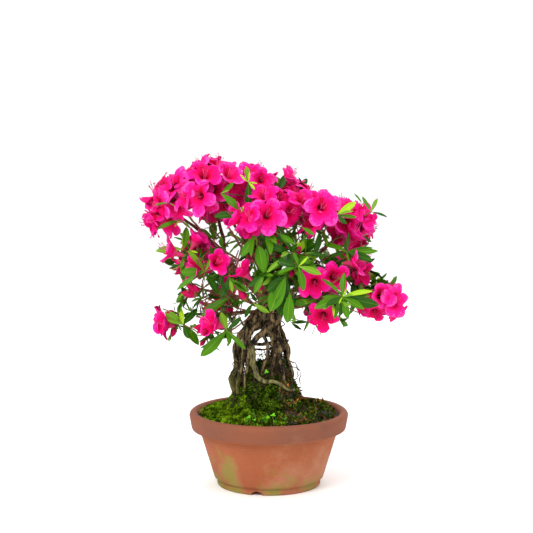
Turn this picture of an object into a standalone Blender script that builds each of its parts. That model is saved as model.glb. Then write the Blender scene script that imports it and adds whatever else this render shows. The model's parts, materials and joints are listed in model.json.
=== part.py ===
"""An azalea bonsai grown in the bared-root style, in a shallow terracotta pot.

Metres, +Z up. The origin is on the ground under the middle of the pot, and the tree's
front faces -Y. Headings are degrees round the trunk: 0 right, 90 back, 180 left, 270 front.
"""

import math
import random
from collections import namedtuple

import bmesh
import bpy
from mathutils import Matrix, Vector

GAP = 0.0003                      # clearance between two pieces that touch
MERGE = 0.00001                   # points nearer than this are one point
EDGE = 0.001                      # the pot's small steps and eased edges

# The pot: a thrown bowl with a heavy rim and a notched foot ring.
RIM_RADIUS = 0.090
RIM_TAPER = 0.0025                # how much narrower the rim is at its lower edge
RIM_HEIGHT = 0.020
RIM_THICKNESS = 0.010
POT_HEIGHT = 0.084
BODY_TOP_RADIUS = 0.078
BODY_FOOT_RADIUS = 0.0620
WALL = 0.008
FOOT_HEIGHT = 0.006
FOOT_RADIUS = 0.0585
FOOT_INNER_RADIUS = 0.0465
FOOT_RECESS = 0.004
FLOOR_HEIGHT = 0.011
FLOOR_BEVEL = 0.006               # where the wall runs into the floor
DRAIN_RADIUS = 0.008
NOTCH_HEADINGS = (257, 17, 137)   # three air notches in the foot ring
NOTCH_RADIUS = 0.0075
NOTCH_SINK = 0.0030               # how far below the ground each notch's centre lies
NOTCH_LENGTH = 0.030
NOTCH_SIDES = 12
POT_SIDES = 28
RIM_ARC_STEPS = 4

# The moss mound: how high it stands at each distance from the middle.
MOUND = (
    (0.079, 0.0795),
    (0.068, 0.0835),
    (0.056, 0.0890),
    (0.046, 0.0965),
    (0.038, 0.1050),
    (0.030, 0.1140),
    (0.021, 0.1220),
    (0.012, 0.1260),
    (0.000, 0.1270),
)
SOIL_SIDES = 20
SOIL_EDGE_GAP = 0.0006            # a flat side of the soil stays this far inside the wall

# The trunk: a swollen head that stands on its bared roots.
TRUNK_LEAN = -0.003               # how far left the fork lies of the roots
HEAD = (                          # height and radius of the head, from the roots to the fork
    (0.168, 0.0045),
    (0.176, 0.0085),
    (0.186, 0.0125),
    (0.196, 0.0130),
    (0.205, 0.0105),
    (0.216, 0.0085),
)
ROOT_SEAT = 0.0018                # how deep each root's cut end sits in the moss
ROOT_WANDER = 0.0014              # how far a root strays from its smooth line
ROOT_STEPS = 8
ROOT_KNOTS = (0.90, 1.14)         # a root's radius varies between these shares of its own
SHOULDER_REACH = 0.42             # a root's shoulder lies this share of the way to its knee
SHOULDER_FALL = 0.30              # and this share of the fall
ANKLE_HEIGHT = 2.5                # a foot stands straight for this many of its own radii
SOCKET_EASE = 1.05                # a root's socket is this much wider, and a gap
TEN_SIDED_EASE = 1.15             # gaps that a ten-sided tube grows by to stand a gap clear
SIX_SIDED_EASE = 1.3              # and a six-sided one

# A root leaves the head at its rise, bends at its knee and stands on the mound at its foot.
Root = namedtuple("Root", "name rise knee_heading knee_reach knee_height foot_heading foot_reach top end")
ROOTS = (
    Root("outer_left", 0.192, 182, 0.034, 0.166, 185, 0.0405, 0.0046, 0.0030),
    Root("inner_left", 0.188, 204, 0.029, 0.166, 210, 0.0350, 0.0032, 0.0022),
    Root("front", 0.186, 238, 0.027, 0.166, 243, 0.0270, 0.0036, 0.0028),
    Root("middle", 0.182, 268, 0.019, 0.157, 250, 0.0220, 0.0026, 0.0020),
    Root("fine_middle", 0.180, 293, 0.021, 0.155, 284, 0.0240, 0.0020, 0.0015),
    Root("inner_right", 0.182, 318, 0.022, 0.158, 316, 0.0270, 0.0027, 0.0018),
    Root("outer_right", 0.192, 351, 0.0215, 0.163, 350, 0.0255, 0.0034, 0.0023),
    Root("thick_right", 0.184, 22, 0.0185, 0.162, 20, 0.0275, 0.0040, 0.0026),
    Root("back_right", 0.186, 58, 0.022, 0.158, 56, 0.0300, 0.0028, 0.0019),
    Root("back", 0.184, 98, 0.021, 0.156, 92, 0.0290, 0.0024, 0.0018),
    Root("back_left", 0.188, 132, 0.025, 0.160, 128, 0.0320, 0.0030, 0.0020),
    Root("side_left", 0.190, 160, 0.028, 0.164, 158, 0.0350, 0.0032, 0.0021),
    Root("heart", 0.180, 20, 0.005, 0.157, 330, 0.0060, 0.0026, 0.0018),
    Root("inner_back", 0.180, 140, 0.012, 0.155, 150, 0.0160, 0.0022, 0.0016),
)
# The front root turns at its foot and creeps over the moss to the right.
CREEP_START_HEIGHT = 0.1230
CREEP_START_HEADING = 243
CREEP_START_REACH = 0.0270
CREEP_END_HEADING = 322
CREEP_END_REACH = 0.0370
CREEP_END_RADIUS = 0.0016
CREEP_STEPS = 6

# The crown: every limb ends in one mass of shoots.
# fork is how far along its parent a limb starts, from 0 at the foot to 1 at the tip.
Limb = namedtuple("Limb", "name parent fork heading reach height girth blooms sprays")
CROWN = (
    Limb("left_tip", "trunk", 0.80, 177, 0.098, 0.302, 0.0040, 7, 2),
    Limb("left_crest", "left_tip", 0.48, 197, 0.062, 0.324, 0.0024, 7, 1),
    Limb("left_side", "left_tip", 0.34, 189, 0.068, 0.256, 0.0022, 4, 3),
    Limb("low_left_tip", "trunk", 0.56, 184, 0.084, 0.194, 0.0024, 1, 3),
    Limb("low_left_near", "low_left_tip", 0.26, 209, 0.057, 0.193, 0.0018, 1, 3),
    Limb("low_left_bud", "trunk", 0.70, 190, 0.066, 0.221, 0.0022, 0, 2),
    Limb("middle_crest", "trunk", 0.99, 165, 0.022, 0.317, 0.0042, 6, 2),
    Limb("front_face", "middle_crest", 0.42, 263, 0.060, 0.288, 0.0024, 6, 1),
    Limb("right_crest", "middle_crest", 0.52, 316, 0.056, 0.290, 0.0024, 6, 2),
    Limb("right_shoulder", "trunk", 0.80, 2, 0.080, 0.282, 0.0038, 6, 2),
    Limb("right_middle", "right_shoulder", 0.30, 296, 0.056, 0.256, 0.0020, 2, 5),
    Limb("right_side", "right_shoulder", 0.34, 341, 0.084, 0.236, 0.0022, 5, 4),
    Limb("right_tip", "trunk", 0.60, 341, 0.108, 0.218, 0.0034, 6, 2),
    Limb("low_right", "right_tip", 0.42, 319, 0.074, 0.222, 0.0020, 1, 4),
    Limb("middle_face", "trunk", 0.74, 274, 0.050, 0.244, 0.0028, 1, 7),
    Limb("low_face", "trunk", 0.70, 286, 0.044, 0.216, 0.0022, 0, 4),
    Limb("left_middle", "trunk", 0.76, 236, 0.056, 0.248, 0.0028, 4, 4),
    Limb("back_middle", "trunk", 0.78, 92, 0.062, 0.262, 0.0034, 5, 3),
    Limb("back_left_crest", "back_middle", 0.40, 136, 0.066, 0.302, 0.0024, 6, 2),
    Limb("back_left", "back_middle", 0.26, 151, 0.086, 0.250, 0.0024, 5, 2),
    Limb("back_right", "trunk", 0.66, 31, 0.088, 0.242, 0.0032, 5, 2),
    Limb("back_right_crest", "back_right", 0.44, 62, 0.058, 0.302, 0.0022, 6, 2),
    Limb("back_low_left", "trunk", 0.60, 128, 0.064, 0.208, 0.0024, 3, 3),
    Limb("back_low_right", "back_right", 0.30, 54, 0.064, 0.204, 0.0020, 3, 3),
)
TIP_GIRTH = 0.0014                # radius of every limb where it enters its mass
LIMB_ARCH = 0.03                  # a limb rises above its chord by this share of its length
LIMB_WANDER = 0.0020
BOUGH_STEPS = 5
BRANCH_STEPS = 3

# A mass: a stem, then shoots spread round its outward line, each with a bloom or a whorl.
HEART = Vector((0.0, 0.0, 0.225))  # the point that the crown spreads out from
STEM_LENGTH = 0.020
STEM_RADIUS = 0.0019
STEM_TIP_RADIUS = 0.0014
STEM_JOINTS = (0.38, 0.97)       # shoots leave the stem between these shares of its length
HUB_REACH = 0.009                 # shoots spread as if from this far up the stem
SHOOT_RADIUS = 0.0007
SHOOT_TIP_RADIUS = 0.0010
BUD_LENGTH = 0.004
SHOOT_SAMPLES = 6                 # points along a shoot that its space is tested at
SHOOT_TESTED = 0.75               # over this outer share of its length
PETAL_TESTED = (0.35, 0.7, 1.0)   # and from a bloom's base out to its rim
LEAF_TESTED = (0.3, 0.5, 0.75, 1.0)
BLOOM_SHOOT = (0.011, 0.025)
SPRAY_SHOOT = (0.018, 0.028)
SPREAD = math.radians(98)        # widest angle between a shoot and the mass's outward line
TRIES = 90                        # places tried for a shoot in each mass
GOLDEN_TURN = math.radians(137.508)
CELL_MARGIN = 0.0004              # a shoot stays this far inside its mass's own space
LIMB_MARGIN = 0.0030              # and this far off every limb
LEAF_MARGIN = 0.0035              # and a leaf this far off its own mass's other leaves and petals
FIRST_TRY = 0.2                   # moves the first place tried a little off the outward line
ROOT_SEED = 714
LIMB_SEED = 814
MASS_SEED = 914

# A bloom is wide open or a younger funnel: its radius, and its depth from base to petals.
OPEN_BLOOM = (0.0180, 0.0130)
FUNNEL_BLOOM = (0.0145, 0.0200)
BLOOM_THROAT = 0.42               # the throat's height, as a share of the depth
BLOOM_SPACING = 0.0295
BLOOM_NOD = 0.25                  # how far a bloom may nod off its line, in radians
BLOOM_OUTWARD = 0.4               # how far it turns from its shoot's line to the outward one
SPRAY_SPACING = 0.0160
LEAST_SPRAY_TILT = 0.45
PETALS = 5
SHOULDER_ANGLE = math.radians(17)
NOTCH_REACH = 0.58                # the notch between petals, as a share of the radius
NOTCH_RISE = 0.82                 # and its height, as a share of the depth

LEAF_LENGTH = (0.024, 0.031)
LEAF_WIDTH = 0.40                 # share of the length
LEAF_THICKNESS = 0.0010
LEAF_SINK = 0.0004                # how far a leaf's base passes its shoot's middle
LEAF_FIRST = 0.0012               # from a shoot's tip down to its first leaf
LEAF_STEP = 0.0030                # from one leaf to the next along a shoot
LEAF_TURN_JITTER = 0.10
LEAF_LEAN_STEP = 0.10             # each lower leaf of a shoot leans out more, in radians
BLOOM_LEAVES = 3
BLOOM_LEAN = 1.30
SPRAY_LEAVES = 6
SPRAY_LEAN = 0.85

ROUND_SIX = 1                     # bevel resolution of a six-sided tube
ROUND_TEN = 3                     # and of a ten-sided one


# ---------------------------------------------------------------- scene and materials

def clear_scene():
    for item in list(bpy.data.objects):
        bpy.data.objects.remove(item)


def new_collection(name):
    collection = bpy.data.collections.new(name)
    bpy.context.scene.collection.children.link(collection)
    return collection


def new_material(name, colour, roughness, metallic=0.0):
    material = bpy.data.materials.new(name)
    material.use_nodes = True
    shader = material.node_tree.nodes["Principled BSDF"]
    shader.inputs["Base Color"].default_value = (*colour, 1.0)
    shader.inputs["Roughness"].default_value = roughness
    shader.inputs["Metallic"].default_value = metallic
    material.diffuse_color = (*colour, 1.0)
    return material


def new_object(name, mesh, collection, material=None):
    item = bpy.data.objects.new(name, mesh)
    collection.objects.link(item)
    if material:
        mesh.materials.clear()
        mesh.materials.append(material)
    return item


def as_cutter(item):
    item.hide_render = True
    item.display_type = "WIRE"


# ---------------------------------------------------------------- small geometry

def polar(heading, reach, height):
    angle = math.radians(heading)
    return Vector((reach * math.cos(angle), reach * math.sin(angle), height))


def any_side(direction):
    """A unit vector square to direction."""
    helper = Vector((0, 0, 1)) if abs(direction.z) < 0.9 else Vector((1, 0, 0))
    return direction.cross(helper).normalized()


def tilted(direction, tilt, turn):
    """Direction leaned by tilt, towards the side that turn names."""
    side = Matrix.Rotation(turn, 3, direction) @ any_side(direction)
    return (direction * math.cos(tilt) + side * math.sin(tilt)).normalized()


def aimed(origin, direction, up=None):
    """A matrix that puts a mesh's origin at origin and its +Z along direction."""
    forward = direction.normalized()
    side = forward.cross(up).normalized() if up else any_side(forward)
    matrix = Matrix((side, forward.cross(side), forward)).transposed().to_4x4()
    matrix.translation = origin
    return matrix


def smooth_line(knots, steps):
    """Points along a Catmull-Rom curve through the knots, evenly spread by parameter."""
    ends = [2 * knots[0] - knots[1], *knots, 2 * knots[-1] - knots[-2]]
    spans = len(knots) - 1
    line = []
    for step in range(steps + 1):
        place = step / steps * spans
        span = min(int(place), spans - 1)
        t = place - span
        a, b, c, d = ends[span:span + 4]
        line.append(0.5 * (2 * b + (c - a) * t + (2 * a - 5 * b + 4 * c - d) * t ** 2
                           + (3 * b - a - 3 * c + d) * t ** 3))
    return line


def wander(line, amount, rng):
    """Strays the inner points of a line a little, as wood grows."""
    strayed = [line[0]]
    for point in line[1:-1]:
        stray = Vector((rng.uniform(-1, 1), rng.uniform(-1, 1), rng.uniform(-1, 1)))
        strayed.append(point + stray * amount)
    return strayed + [line[-1]]


def mound_height(reach):
    for (outer, low), (inner, high) in zip(MOUND, MOUND[1:]):
        if reach >= inner:
            share = (reach - inner) / (outer - inner)
            return high + (low - high) * share
    return MOUND[-1][1]


# ---------------------------------------------------------------- solids

def tube(name, line, radii, resolution, collection, material=None):
    """A round limb along line: a curve with a bevel, turned into a closed mesh."""
    curve = bpy.data.curves.new(name, "CURVE")
    curve.dimensions = "3D"
    curve.bevel_depth = 1.0
    curve.bevel_resolution = resolution
    curve.use_fill_caps = True
    spline = curve.splines.new("POLY")
    spline.points.add(len(line) - 1)
    for point, place, radius in zip(spline.points, line, radii):
        point.co = (*place, 1.0)
        point.radius = radius
    guide = bpy.data.objects.new(name + "_line", curve)
    collection.objects.link(guide)
    graph = bpy.context.evaluated_depsgraph_get()
    mesh = bpy.data.meshes.new_from_object(guide.evaluated_get(graph))
    bpy.data.objects.remove(guide)
    bpy.data.curves.remove(curve)
    weld(mesh)
    mesh.name = name
    return new_object(name, mesh, collection, material)


def weld(mesh):
    shape = bmesh.new()
    shape.from_mesh(mesh)
    bmesh.ops.remove_doubles(shape, verts=shape.verts, dist=MERGE)
    bmesh.ops.recalc_face_normals(shape, faces=shape.faces)
    shape.to_mesh(mesh)
    shape.free()


def turned(name, profile, sides, collection, material):
    """A turned shape: its profile in the XZ plane with a Screw modifier."""
    mesh = bpy.data.meshes.new(name)
    closed = profile[0][0] > 0
    count = len(profile)
    edges = [(i, (i + 1) % count) for i in range(count if closed else count - 1)]
    mesh.from_pydata([(x, 0, z) for x, z in profile], edges, [])
    item = new_object(name, mesh, collection, material)
    screw = item.modifiers.new("turn", "SCREW")
    screw.steps = sides
    screw.render_steps = sides
    screw.use_merge_vertices = True
    screw.merge_threshold = MERGE
    return item


def cut(item, cutter):
    boolean = item.modifiers.new("cut_" + cutter.name, "BOOLEAN")
    boolean.operation = "DIFFERENCE"
    boolean.object = cutter
    boolean.solver = "EXACT"


def fused(name, pieces, collection, material, solver):
    """One closed solid from overlapping pieces: one Boolean union on a collection."""
    group = bpy.data.collections.new(name + "_pieces")
    bpy.context.scene.collection.children.link(group)
    first = new_object(name, pieces[0], collection, material)
    for index, mesh in enumerate(pieces[1:]):
        group.objects.link(bpy.data.objects.new(f"{name}_piece_{index}", mesh))
    union = first.modifiers.new("fuse", "BOOLEAN")
    union.operation = "UNION"
    union.operand_type = "COLLECTION"
    union.collection = group
    union.solver = solver
    graph = bpy.context.evaluated_depsgraph_get()
    result = bpy.data.meshes.new_from_object(first.evaluated_get(graph))
    first.modifiers.clear()
    first.data = result
    for piece in list(group.objects):
        bpy.data.objects.remove(piece)
    bpy.data.collections.remove(group)
    keep_main_shell(result)
    result.materials.clear()
    result.materials.append(material)
    return first


def shell_volume(faces):
    volume = 0.0
    for face in faces:
        anchor = face.verts[0].co
        for one, two in zip(face.verts[1:], face.verts[2:]):
            volume += anchor.dot(one.co.cross(two.co)) / 6
    return volume


def keep_main_shell(mesh):
    """Fills sealed hollows and drops loose scraps: only the largest outer shell stays."""
    shape = bmesh.new()
    shape.from_mesh(mesh)
    shells = []
    seen = set()
    for start in shape.faces:
        if start in seen:
            continue
        shell = [start]
        seen.add(start)
        for face in shell:
            for edge in face.edges:
                for other in edge.link_faces:
                    if other not in seen:
                        seen.add(other)
                        shell.append(other)
        shells.append(shell)
    shells.sort(key=shell_volume, reverse=True)
    loose = [face for shell in shells[1:] for face in shell]
    bmesh.ops.delete(shape, geom=loose, context="FACES")
    shape.to_mesh(mesh)
    shape.free()


# ---------------------------------------------------------------- pot and soil

def arc(centre_x, centre_z, radius, start, end, steps):
    """Profile points round an arc, with angles in degrees from +X."""
    points = []
    for step in range(steps + 1):
        angle = math.radians(start + (end - start) * step / steps)
        points.append((centre_x + radius * math.cos(angle), centre_z + radius * math.sin(angle)))
    return points


def inner_wall():
    """The inside of the pot, from the rim down to the floor."""
    return [
        (RIM_RADIUS - RIM_THICKNESS, POT_HEIGHT - RIM_THICKNESS / 2),
        (BODY_TOP_RADIUS - WALL, POT_HEIGHT - RIM_HEIGHT - 2 * EDGE),
        (BODY_FOOT_RADIUS - WALL, FLOOR_HEIGHT + FLOOR_BEVEL),
        (BODY_FOOT_RADIUS - WALL - FLOOR_BEVEL, FLOOR_HEIGHT),
    ]


def pot_profile():
    round_rim = arc(RIM_RADIUS - RIM_THICKNESS / 2, POT_HEIGHT - RIM_THICKNESS / 2,
                    RIM_THICKNESS / 2, 180, 0, RIM_ARC_STEPS)
    under_rim = POT_HEIGHT - RIM_HEIGHT
    outside = [
        (RIM_RADIUS - RIM_TAPER, under_rim + EDGE),
        (RIM_RADIUS - RIM_TAPER - EDGE, under_rim),
        (BODY_TOP_RADIUS, under_rim - EDGE),
        (BODY_FOOT_RADIUS, FOOT_HEIGHT + 3 * EDGE),
        (FOOT_RADIUS, FOOT_HEIGHT + EDGE),
        (FOOT_RADIUS + EDGE / 2, FOOT_HEIGHT),
        (FOOT_RADIUS, 0.0),
    ]
    underside = [
        (FOOT_INNER_RADIUS, 0.0),
        (FOOT_INNER_RADIUS - 2 * EDGE, FOOT_RECESS),
        (DRAIN_RADIUS, FOOT_RECESS),
        (DRAIN_RADIUS, FLOOR_HEIGHT),
    ]
    inside = list(reversed(inner_wall()))[:-1]
    return round_rim[1:] + outside + underside + inside + round_rim[:1]


def build_pot(parts, cutters, material):
    pot = turned("pot", pot_profile(), POT_SIDES, parts, material)
    for heading in NOTCH_HEADINGS:
        shape = bmesh.new()
        bmesh.ops.create_cone(shape, cap_ends=True, segments=NOTCH_SIDES, radius1=NOTCH_RADIUS,
                              radius2=NOTCH_RADIUS, depth=NOTCH_LENGTH)
        mesh = bpy.data.meshes.new("notch")
        shape.to_mesh(mesh)
        shape.free()
        notch = new_object(f"notch_{heading}", mesh, cutters)
        middle = (FOOT_RADIUS + FOOT_INNER_RADIUS) / 2
        notch.matrix_world = aimed(polar(heading, middle, -NOTCH_SINK), polar(heading, 1, 0))
        as_cutter(notch)
        cut(pot, notch)
    return pot


def build_soil(parts, material):
    wall = [(x - SOIL_EDGE_GAP, z) for x, z in inner_wall()[1:]]
    base = [(wall[-1][0], FLOOR_HEIGHT + GAP), (0.0, FLOOR_HEIGHT + GAP)]
    surface = list(reversed(MOUND))
    profile = surface + wall[:-1] + base
    return turned("moss_mound", profile, SOIL_SIDES, parts, material)


# ---------------------------------------------------------------- trunk and roots

def trunk_axis(height):
    low = HEAD[0][0]
    high = HEAD[-1][0]
    share = max(0.0, (height - low) / (high - low))
    return Vector((TRUNK_LEAN * share, 0, height))


def creep_line():
    """The front root's run over the moss, a little sunk in it."""
    line = []
    for step in range(1, CREEP_STEPS + 1):
        share = step / CREEP_STEPS
        reach = CREEP_START_REACH + (CREEP_END_REACH - CREEP_START_REACH) * share
        turn = CREEP_START_HEADING + (CREEP_END_HEADING - CREEP_START_HEADING) * share
        line.append(polar(turn, reach, mound_height(reach) + CREEP_END_RADIUS / 2))
    line[-1].z -= ROOT_SEAT
    return line


def root_line(root, rng):
    knee = polar(root.knee_heading, root.knee_reach, root.knee_height)
    start = trunk_axis(root.rise)
    shoulder = start.lerp(knee, SHOULDER_REACH)
    shoulder.z = root.rise - (root.rise - root.knee_height) * SHOULDER_FALL
    ground = mound_height(root.foot_reach)
    foot = [polar(root.foot_heading, root.foot_reach, ground - ROOT_SEAT)]
    ankle = foot[0] + Vector((0, 0, ROOT_SEAT + root.end * ANKLE_HEIGHT))
    if root.name == "front":
        ankle.z = CREEP_START_HEIGHT
        foot = creep_line()
    line = smooth_line([start, shoulder, knee, ankle], ROOT_STEPS)
    return wander(line, ROOT_WANDER, rng) + foot


def root_radii(root, line, rng):
    """Thick at the head, thinner at the foot, with small knots."""
    last = len(line) - 1
    thin = CREEP_END_RADIUS if root.name == "front" else root.end
    radii = []
    for index in range(last + 1):
        radius = root.top + (thin - root.top) * index / last
        radii.append(radius * rng.uniform(*ROOT_KNOTS))
    radii[-1] = thin
    return radii


def trunk_lines():
    """Every tube of the trunk as a name, a line and its radii."""
    lines = [("head", [trunk_axis(height) for height, _ in HEAD], [radius for _, radius in HEAD])]
    for index, root in enumerate(ROOTS):
        rng = random.Random(ROOT_SEED + index)
        line = root_line(root, rng)
        lines.append((root.name, line, root_radii(root, line, rng)))
    return lines


def build_trunk(parts, material):
    pieces = []
    for name, line, radii in trunk_lines():
        resolution = ROUND_TEN if name == "head" else ROUND_SIX
        piece = tube("root_" + name, line, radii, resolution, parts)
        pieces.append(piece.data)
        bpy.data.objects.remove(piece)
    return fused("trunk", pieces, parts, material, "EXACT")


def grown_line(line, amount):
    """The line made longer at both ends, for a cutter."""
    first = line[0] + (line[0] - line[1]).normalized() * amount
    last = line[-1] + (line[-1] - line[-2]).normalized() * amount
    return [first, *line[1:-1], last]


def cut_root_sockets(soil, cutters):
    """Lets each root into the moss with a socket of its own shape, a little wider."""
    pieces = []
    for name, line, radii in trunk_lines()[1:]:
        wide = [radius * SOCKET_EASE + GAP for radius in radii]
        piece = tube("socket_" + name, grown_line(line, GAP), wide, ROUND_SIX, cutters)
        pieces.append(piece.data)
        bpy.data.objects.remove(piece)
    sockets = fused("root_sockets", pieces, cutters, soil.data.materials[0], "EXACT")
    as_cutter(sockets)
    cut(soil, sockets)


# ---------------------------------------------------------------- limbs

def point_on(line, share):
    place = share * (len(line) - 1)
    index = min(int(place), len(line) - 2)
    return line[index].lerp(line[index + 1], place - index)


def limb_lines():
    """Every limb's line and radii, from its parent's middle to its own tip."""
    lines = {}
    trunk = [trunk_axis(height) for height, _ in HEAD]
    for index, limb in enumerate(CROWN):
        rng = random.Random(LIMB_SEED + index)
        main = limb.parent == "trunk"
        parent = trunk if main else lines[limb.parent][0]
        start = point_on(parent, limb.fork)
        tip = polar(limb.heading, limb.reach, limb.height)
        middle = start.lerp(tip, 0.5)
        middle.z += (tip - start).length * LIMB_ARCH
        steps = BOUGH_STEPS if main else BRANCH_STEPS
        line = wander(smooth_line([start, middle, tip], steps), LIMB_WANDER, rng)
        radii = [limb.girth + (TIP_GIRTH - limb.girth) * step / steps for step in range(steps + 1)]
        lines[limb.name] = (line, radii)
    return lines


def build_limbs(lines, parts, cutters, material):
    """Each limb is cut back to its parent's surface, a gap away from it."""
    trunk_line = [trunk_axis(height) for height, _ in HEAD]
    trunk_wide = [radius + TEN_SIDED_EASE * GAP for _, radius in HEAD]
    parents = {"trunk": tube("around_trunk", grown_line(trunk_line, GAP), trunk_wide,
                             ROUND_TEN, cutters)}
    for name in sorted({limb.parent for limb in CROWN} - {"trunk"}):
        line, radii = lines[name]
        wide = [radius + SIX_SIDED_EASE * GAP for radius in radii]
        parents[name] = tube("around_" + name, line, wide, ROUND_SIX, cutters)
    for cutter in parents.values():
        as_cutter(cutter)
    for limb in CROWN:
        line, radii = lines[limb.name]
        bough = tube("bough_" + limb.name, line, radii, ROUND_SIX, parts, material)
        cut(bough, parents[limb.parent])


# ---------------------------------------------------------------- masses: where things grow

Bloom = namedtuple("Bloom", "facing turn radius depth")
Shoot = namedtuple("Shoot", "start end start_radius end_radius bloom")
Leaf = namedtuple("Leaf", "base direction up length")


def petal_ring():
    """Rim points of a bloom as angle, reach and rise, the last two as shares."""
    ring = []
    for petal in range(PETALS):
        middle = math.tau * petal / PETALS
        ring.append((middle - SHOULDER_ANGLE, 1.0, 1.0))
        ring.append((middle + SHOULDER_ANGLE, 1.0, 1.0))
        ring.append((middle + math.pi / PETALS, NOTCH_REACH, NOTCH_RISE))
    return ring


def bloom_frame(shoot):
    return aimed(shoot.end, shoot.bloom.facing) @ Matrix.Rotation(shoot.bloom.turn, 4, "Z")


def bloom_rim(shoot):
    frame = bloom_frame(shoot)
    rim = []
    for angle, reach, rise in petal_ring():
        across = shoot.bloom.radius * reach
        place = (across * math.cos(angle), across * math.sin(angle), shoot.bloom.depth * rise)
        rim.append(frame @ Vector(place))
    return rim


def bloom_middle(shoot):
    return shoot.end + shoot.bloom.facing * shoot.bloom.depth


def shoot_points(shoot):
    """Points that stand for a whole shoot when its space is tested."""
    points = []
    for sample in range(SHOOT_SAMPLES):
        points.append(shoot.end.lerp(shoot.start, SHOOT_TESTED * sample / (SHOOT_SAMPLES - 1)))
    if shoot.bloom:
        for point in bloom_rim(shoot):
            points += [shoot.end.lerp(point, share) for share in PETAL_TESTED]
        points.append(bloom_middle(shoot))
    return points


def leaf_points(leaf):
    side = leaf.direction.cross(leaf.up).normalized() * leaf.length * LEAF_WIDTH / 2
    middle = leaf.base + leaf.direction * leaf.length / 2
    along = [leaf.base + leaf.direction * leaf.length * share for share in LEAF_TESTED]
    return [*along, middle + side, middle - side]


def segment_distance(point, start, end):
    along = end - start
    share = max(0.0, min(1.0, (point - start).dot(along) / along.length_squared))
    return (point - start - along * share).length


class Space:
    """The crown's shared space: one cell for each mass, and the limbs to keep off."""

    def __init__(self, lines):
        self.centres = {}
        self.segments = []
        for limb in CROWN:
            line, radii = lines[limb.name]
            outward = (line[-1] - HEART).normalized()
            self.centres[limb.name] = line[-1] + outward * (HUB_REACH + BLOOM_SHOOT[0])
            for index in range(len(line) - 1):
                self.segments.append((line[index], line[index + 1], radii[index]))
        for (low, wide), (high, _) in zip(HEAD, HEAD[1:]):
            self.segments.append((trunk_axis(low), trunk_axis(high), wide))

    def holds(self, name, points):
        """True where every point is nearer to this mass's centre than to any other."""
        own = self.centres[name]
        for other, centre in self.centres.items():
            if other == name:
                continue
            across = (centre - own).normalized()
            limit = (own + centre).dot(across) / 2 - CELL_MARGIN
            if any(point.dot(across) > limit for point in points):
                return False
        return self.is_clear(points)

    def is_clear(self, points):
        for start, end, radius in self.segments:
            keep = radius + LIMB_MARGIN
            if any(segment_distance(point, start, end) < keep for point in points):
                return False
        return True


def shoot_rings(shoot):
    """The three-sided rings at a shoot's two ends."""
    axis = shoot.end - shoot.start
    across = []
    for corner in range(3):
        across.append(tilted(axis.normalized(), math.pi / 2, math.tau * corner / 3))
    lower = [shoot.start + side * shoot.start_radius for side in across]
    upper = [shoot.end + side * shoot.end_radius for side in across]
    return lower, upper


def are_apart(points, taken, margin):
    return all((point - other).length > margin for point in points for other in taken)


def leaves_along(space, name, shoot, count, lean, taken, rng):
    """Leaves one above another near a shoot's end, each out of the next of its three sides."""
    axis = (shoot.end - shoot.start).normalized()
    leaves = []
    face = rng.randrange(3)
    for index in range(count):
        face += 1
        turn = math.tau * (face + 0.5) / 3 + rng.uniform(-1, 1) * LEAF_TURN_JITTER
        direction = tilted(axis, lean + LEAF_LEAN_STEP * index, turn)
        joint = shoot.end - axis * (LEAF_FIRST + LEAF_STEP * index)
        length = rng.uniform(*LEAF_LENGTH)
        leaf = Leaf(joint - direction * LEAF_SINK, direction, axis, length)
        points = leaf_points(leaf)
        if space.holds(name, points) and are_apart(points, taken, LEAF_MARGIN):
            leaves.append(leaf)
            taken += points
    return leaves


def bloom_at(root, end, outward, blooming, limb, space, rng):
    """A shoot that ends in an open bloom, or in a narrower one where that doesn't fit."""
    direction = (end - root).normalized()
    lead = (direction + outward * BLOOM_OUTWARD).normalized()
    facing = tilted(lead, BLOOM_NOD * rng.random(), rng.uniform(0, math.tau))
    turn = rng.uniform(0, math.tau)
    for size in (OPEN_BLOOM, FUNNEL_BLOOM):
        shoot = Shoot(root, end, SHOOT_RADIUS, SHOOT_TIP_RADIUS, Bloom(facing, turn, *size))
        others = [bloom_middle(other) for other in blooming]
        if are_apart([bloom_middle(shoot)], others, BLOOM_SPACING) \
                and space.holds(limb.name, shoot_points(shoot)):
            return shoot
    return None


def stem_of(line):
    """A mass's stem: on from its limb, a gap beyond the tip and face to face with it."""
    lead = (line[-1] - line[-2]).normalized()
    start = line[-1] + lead * GAP
    return Shoot(start, start + lead * STEM_LENGTH, STEM_RADIUS, STEM_TIP_RADIUS, None)


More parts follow.
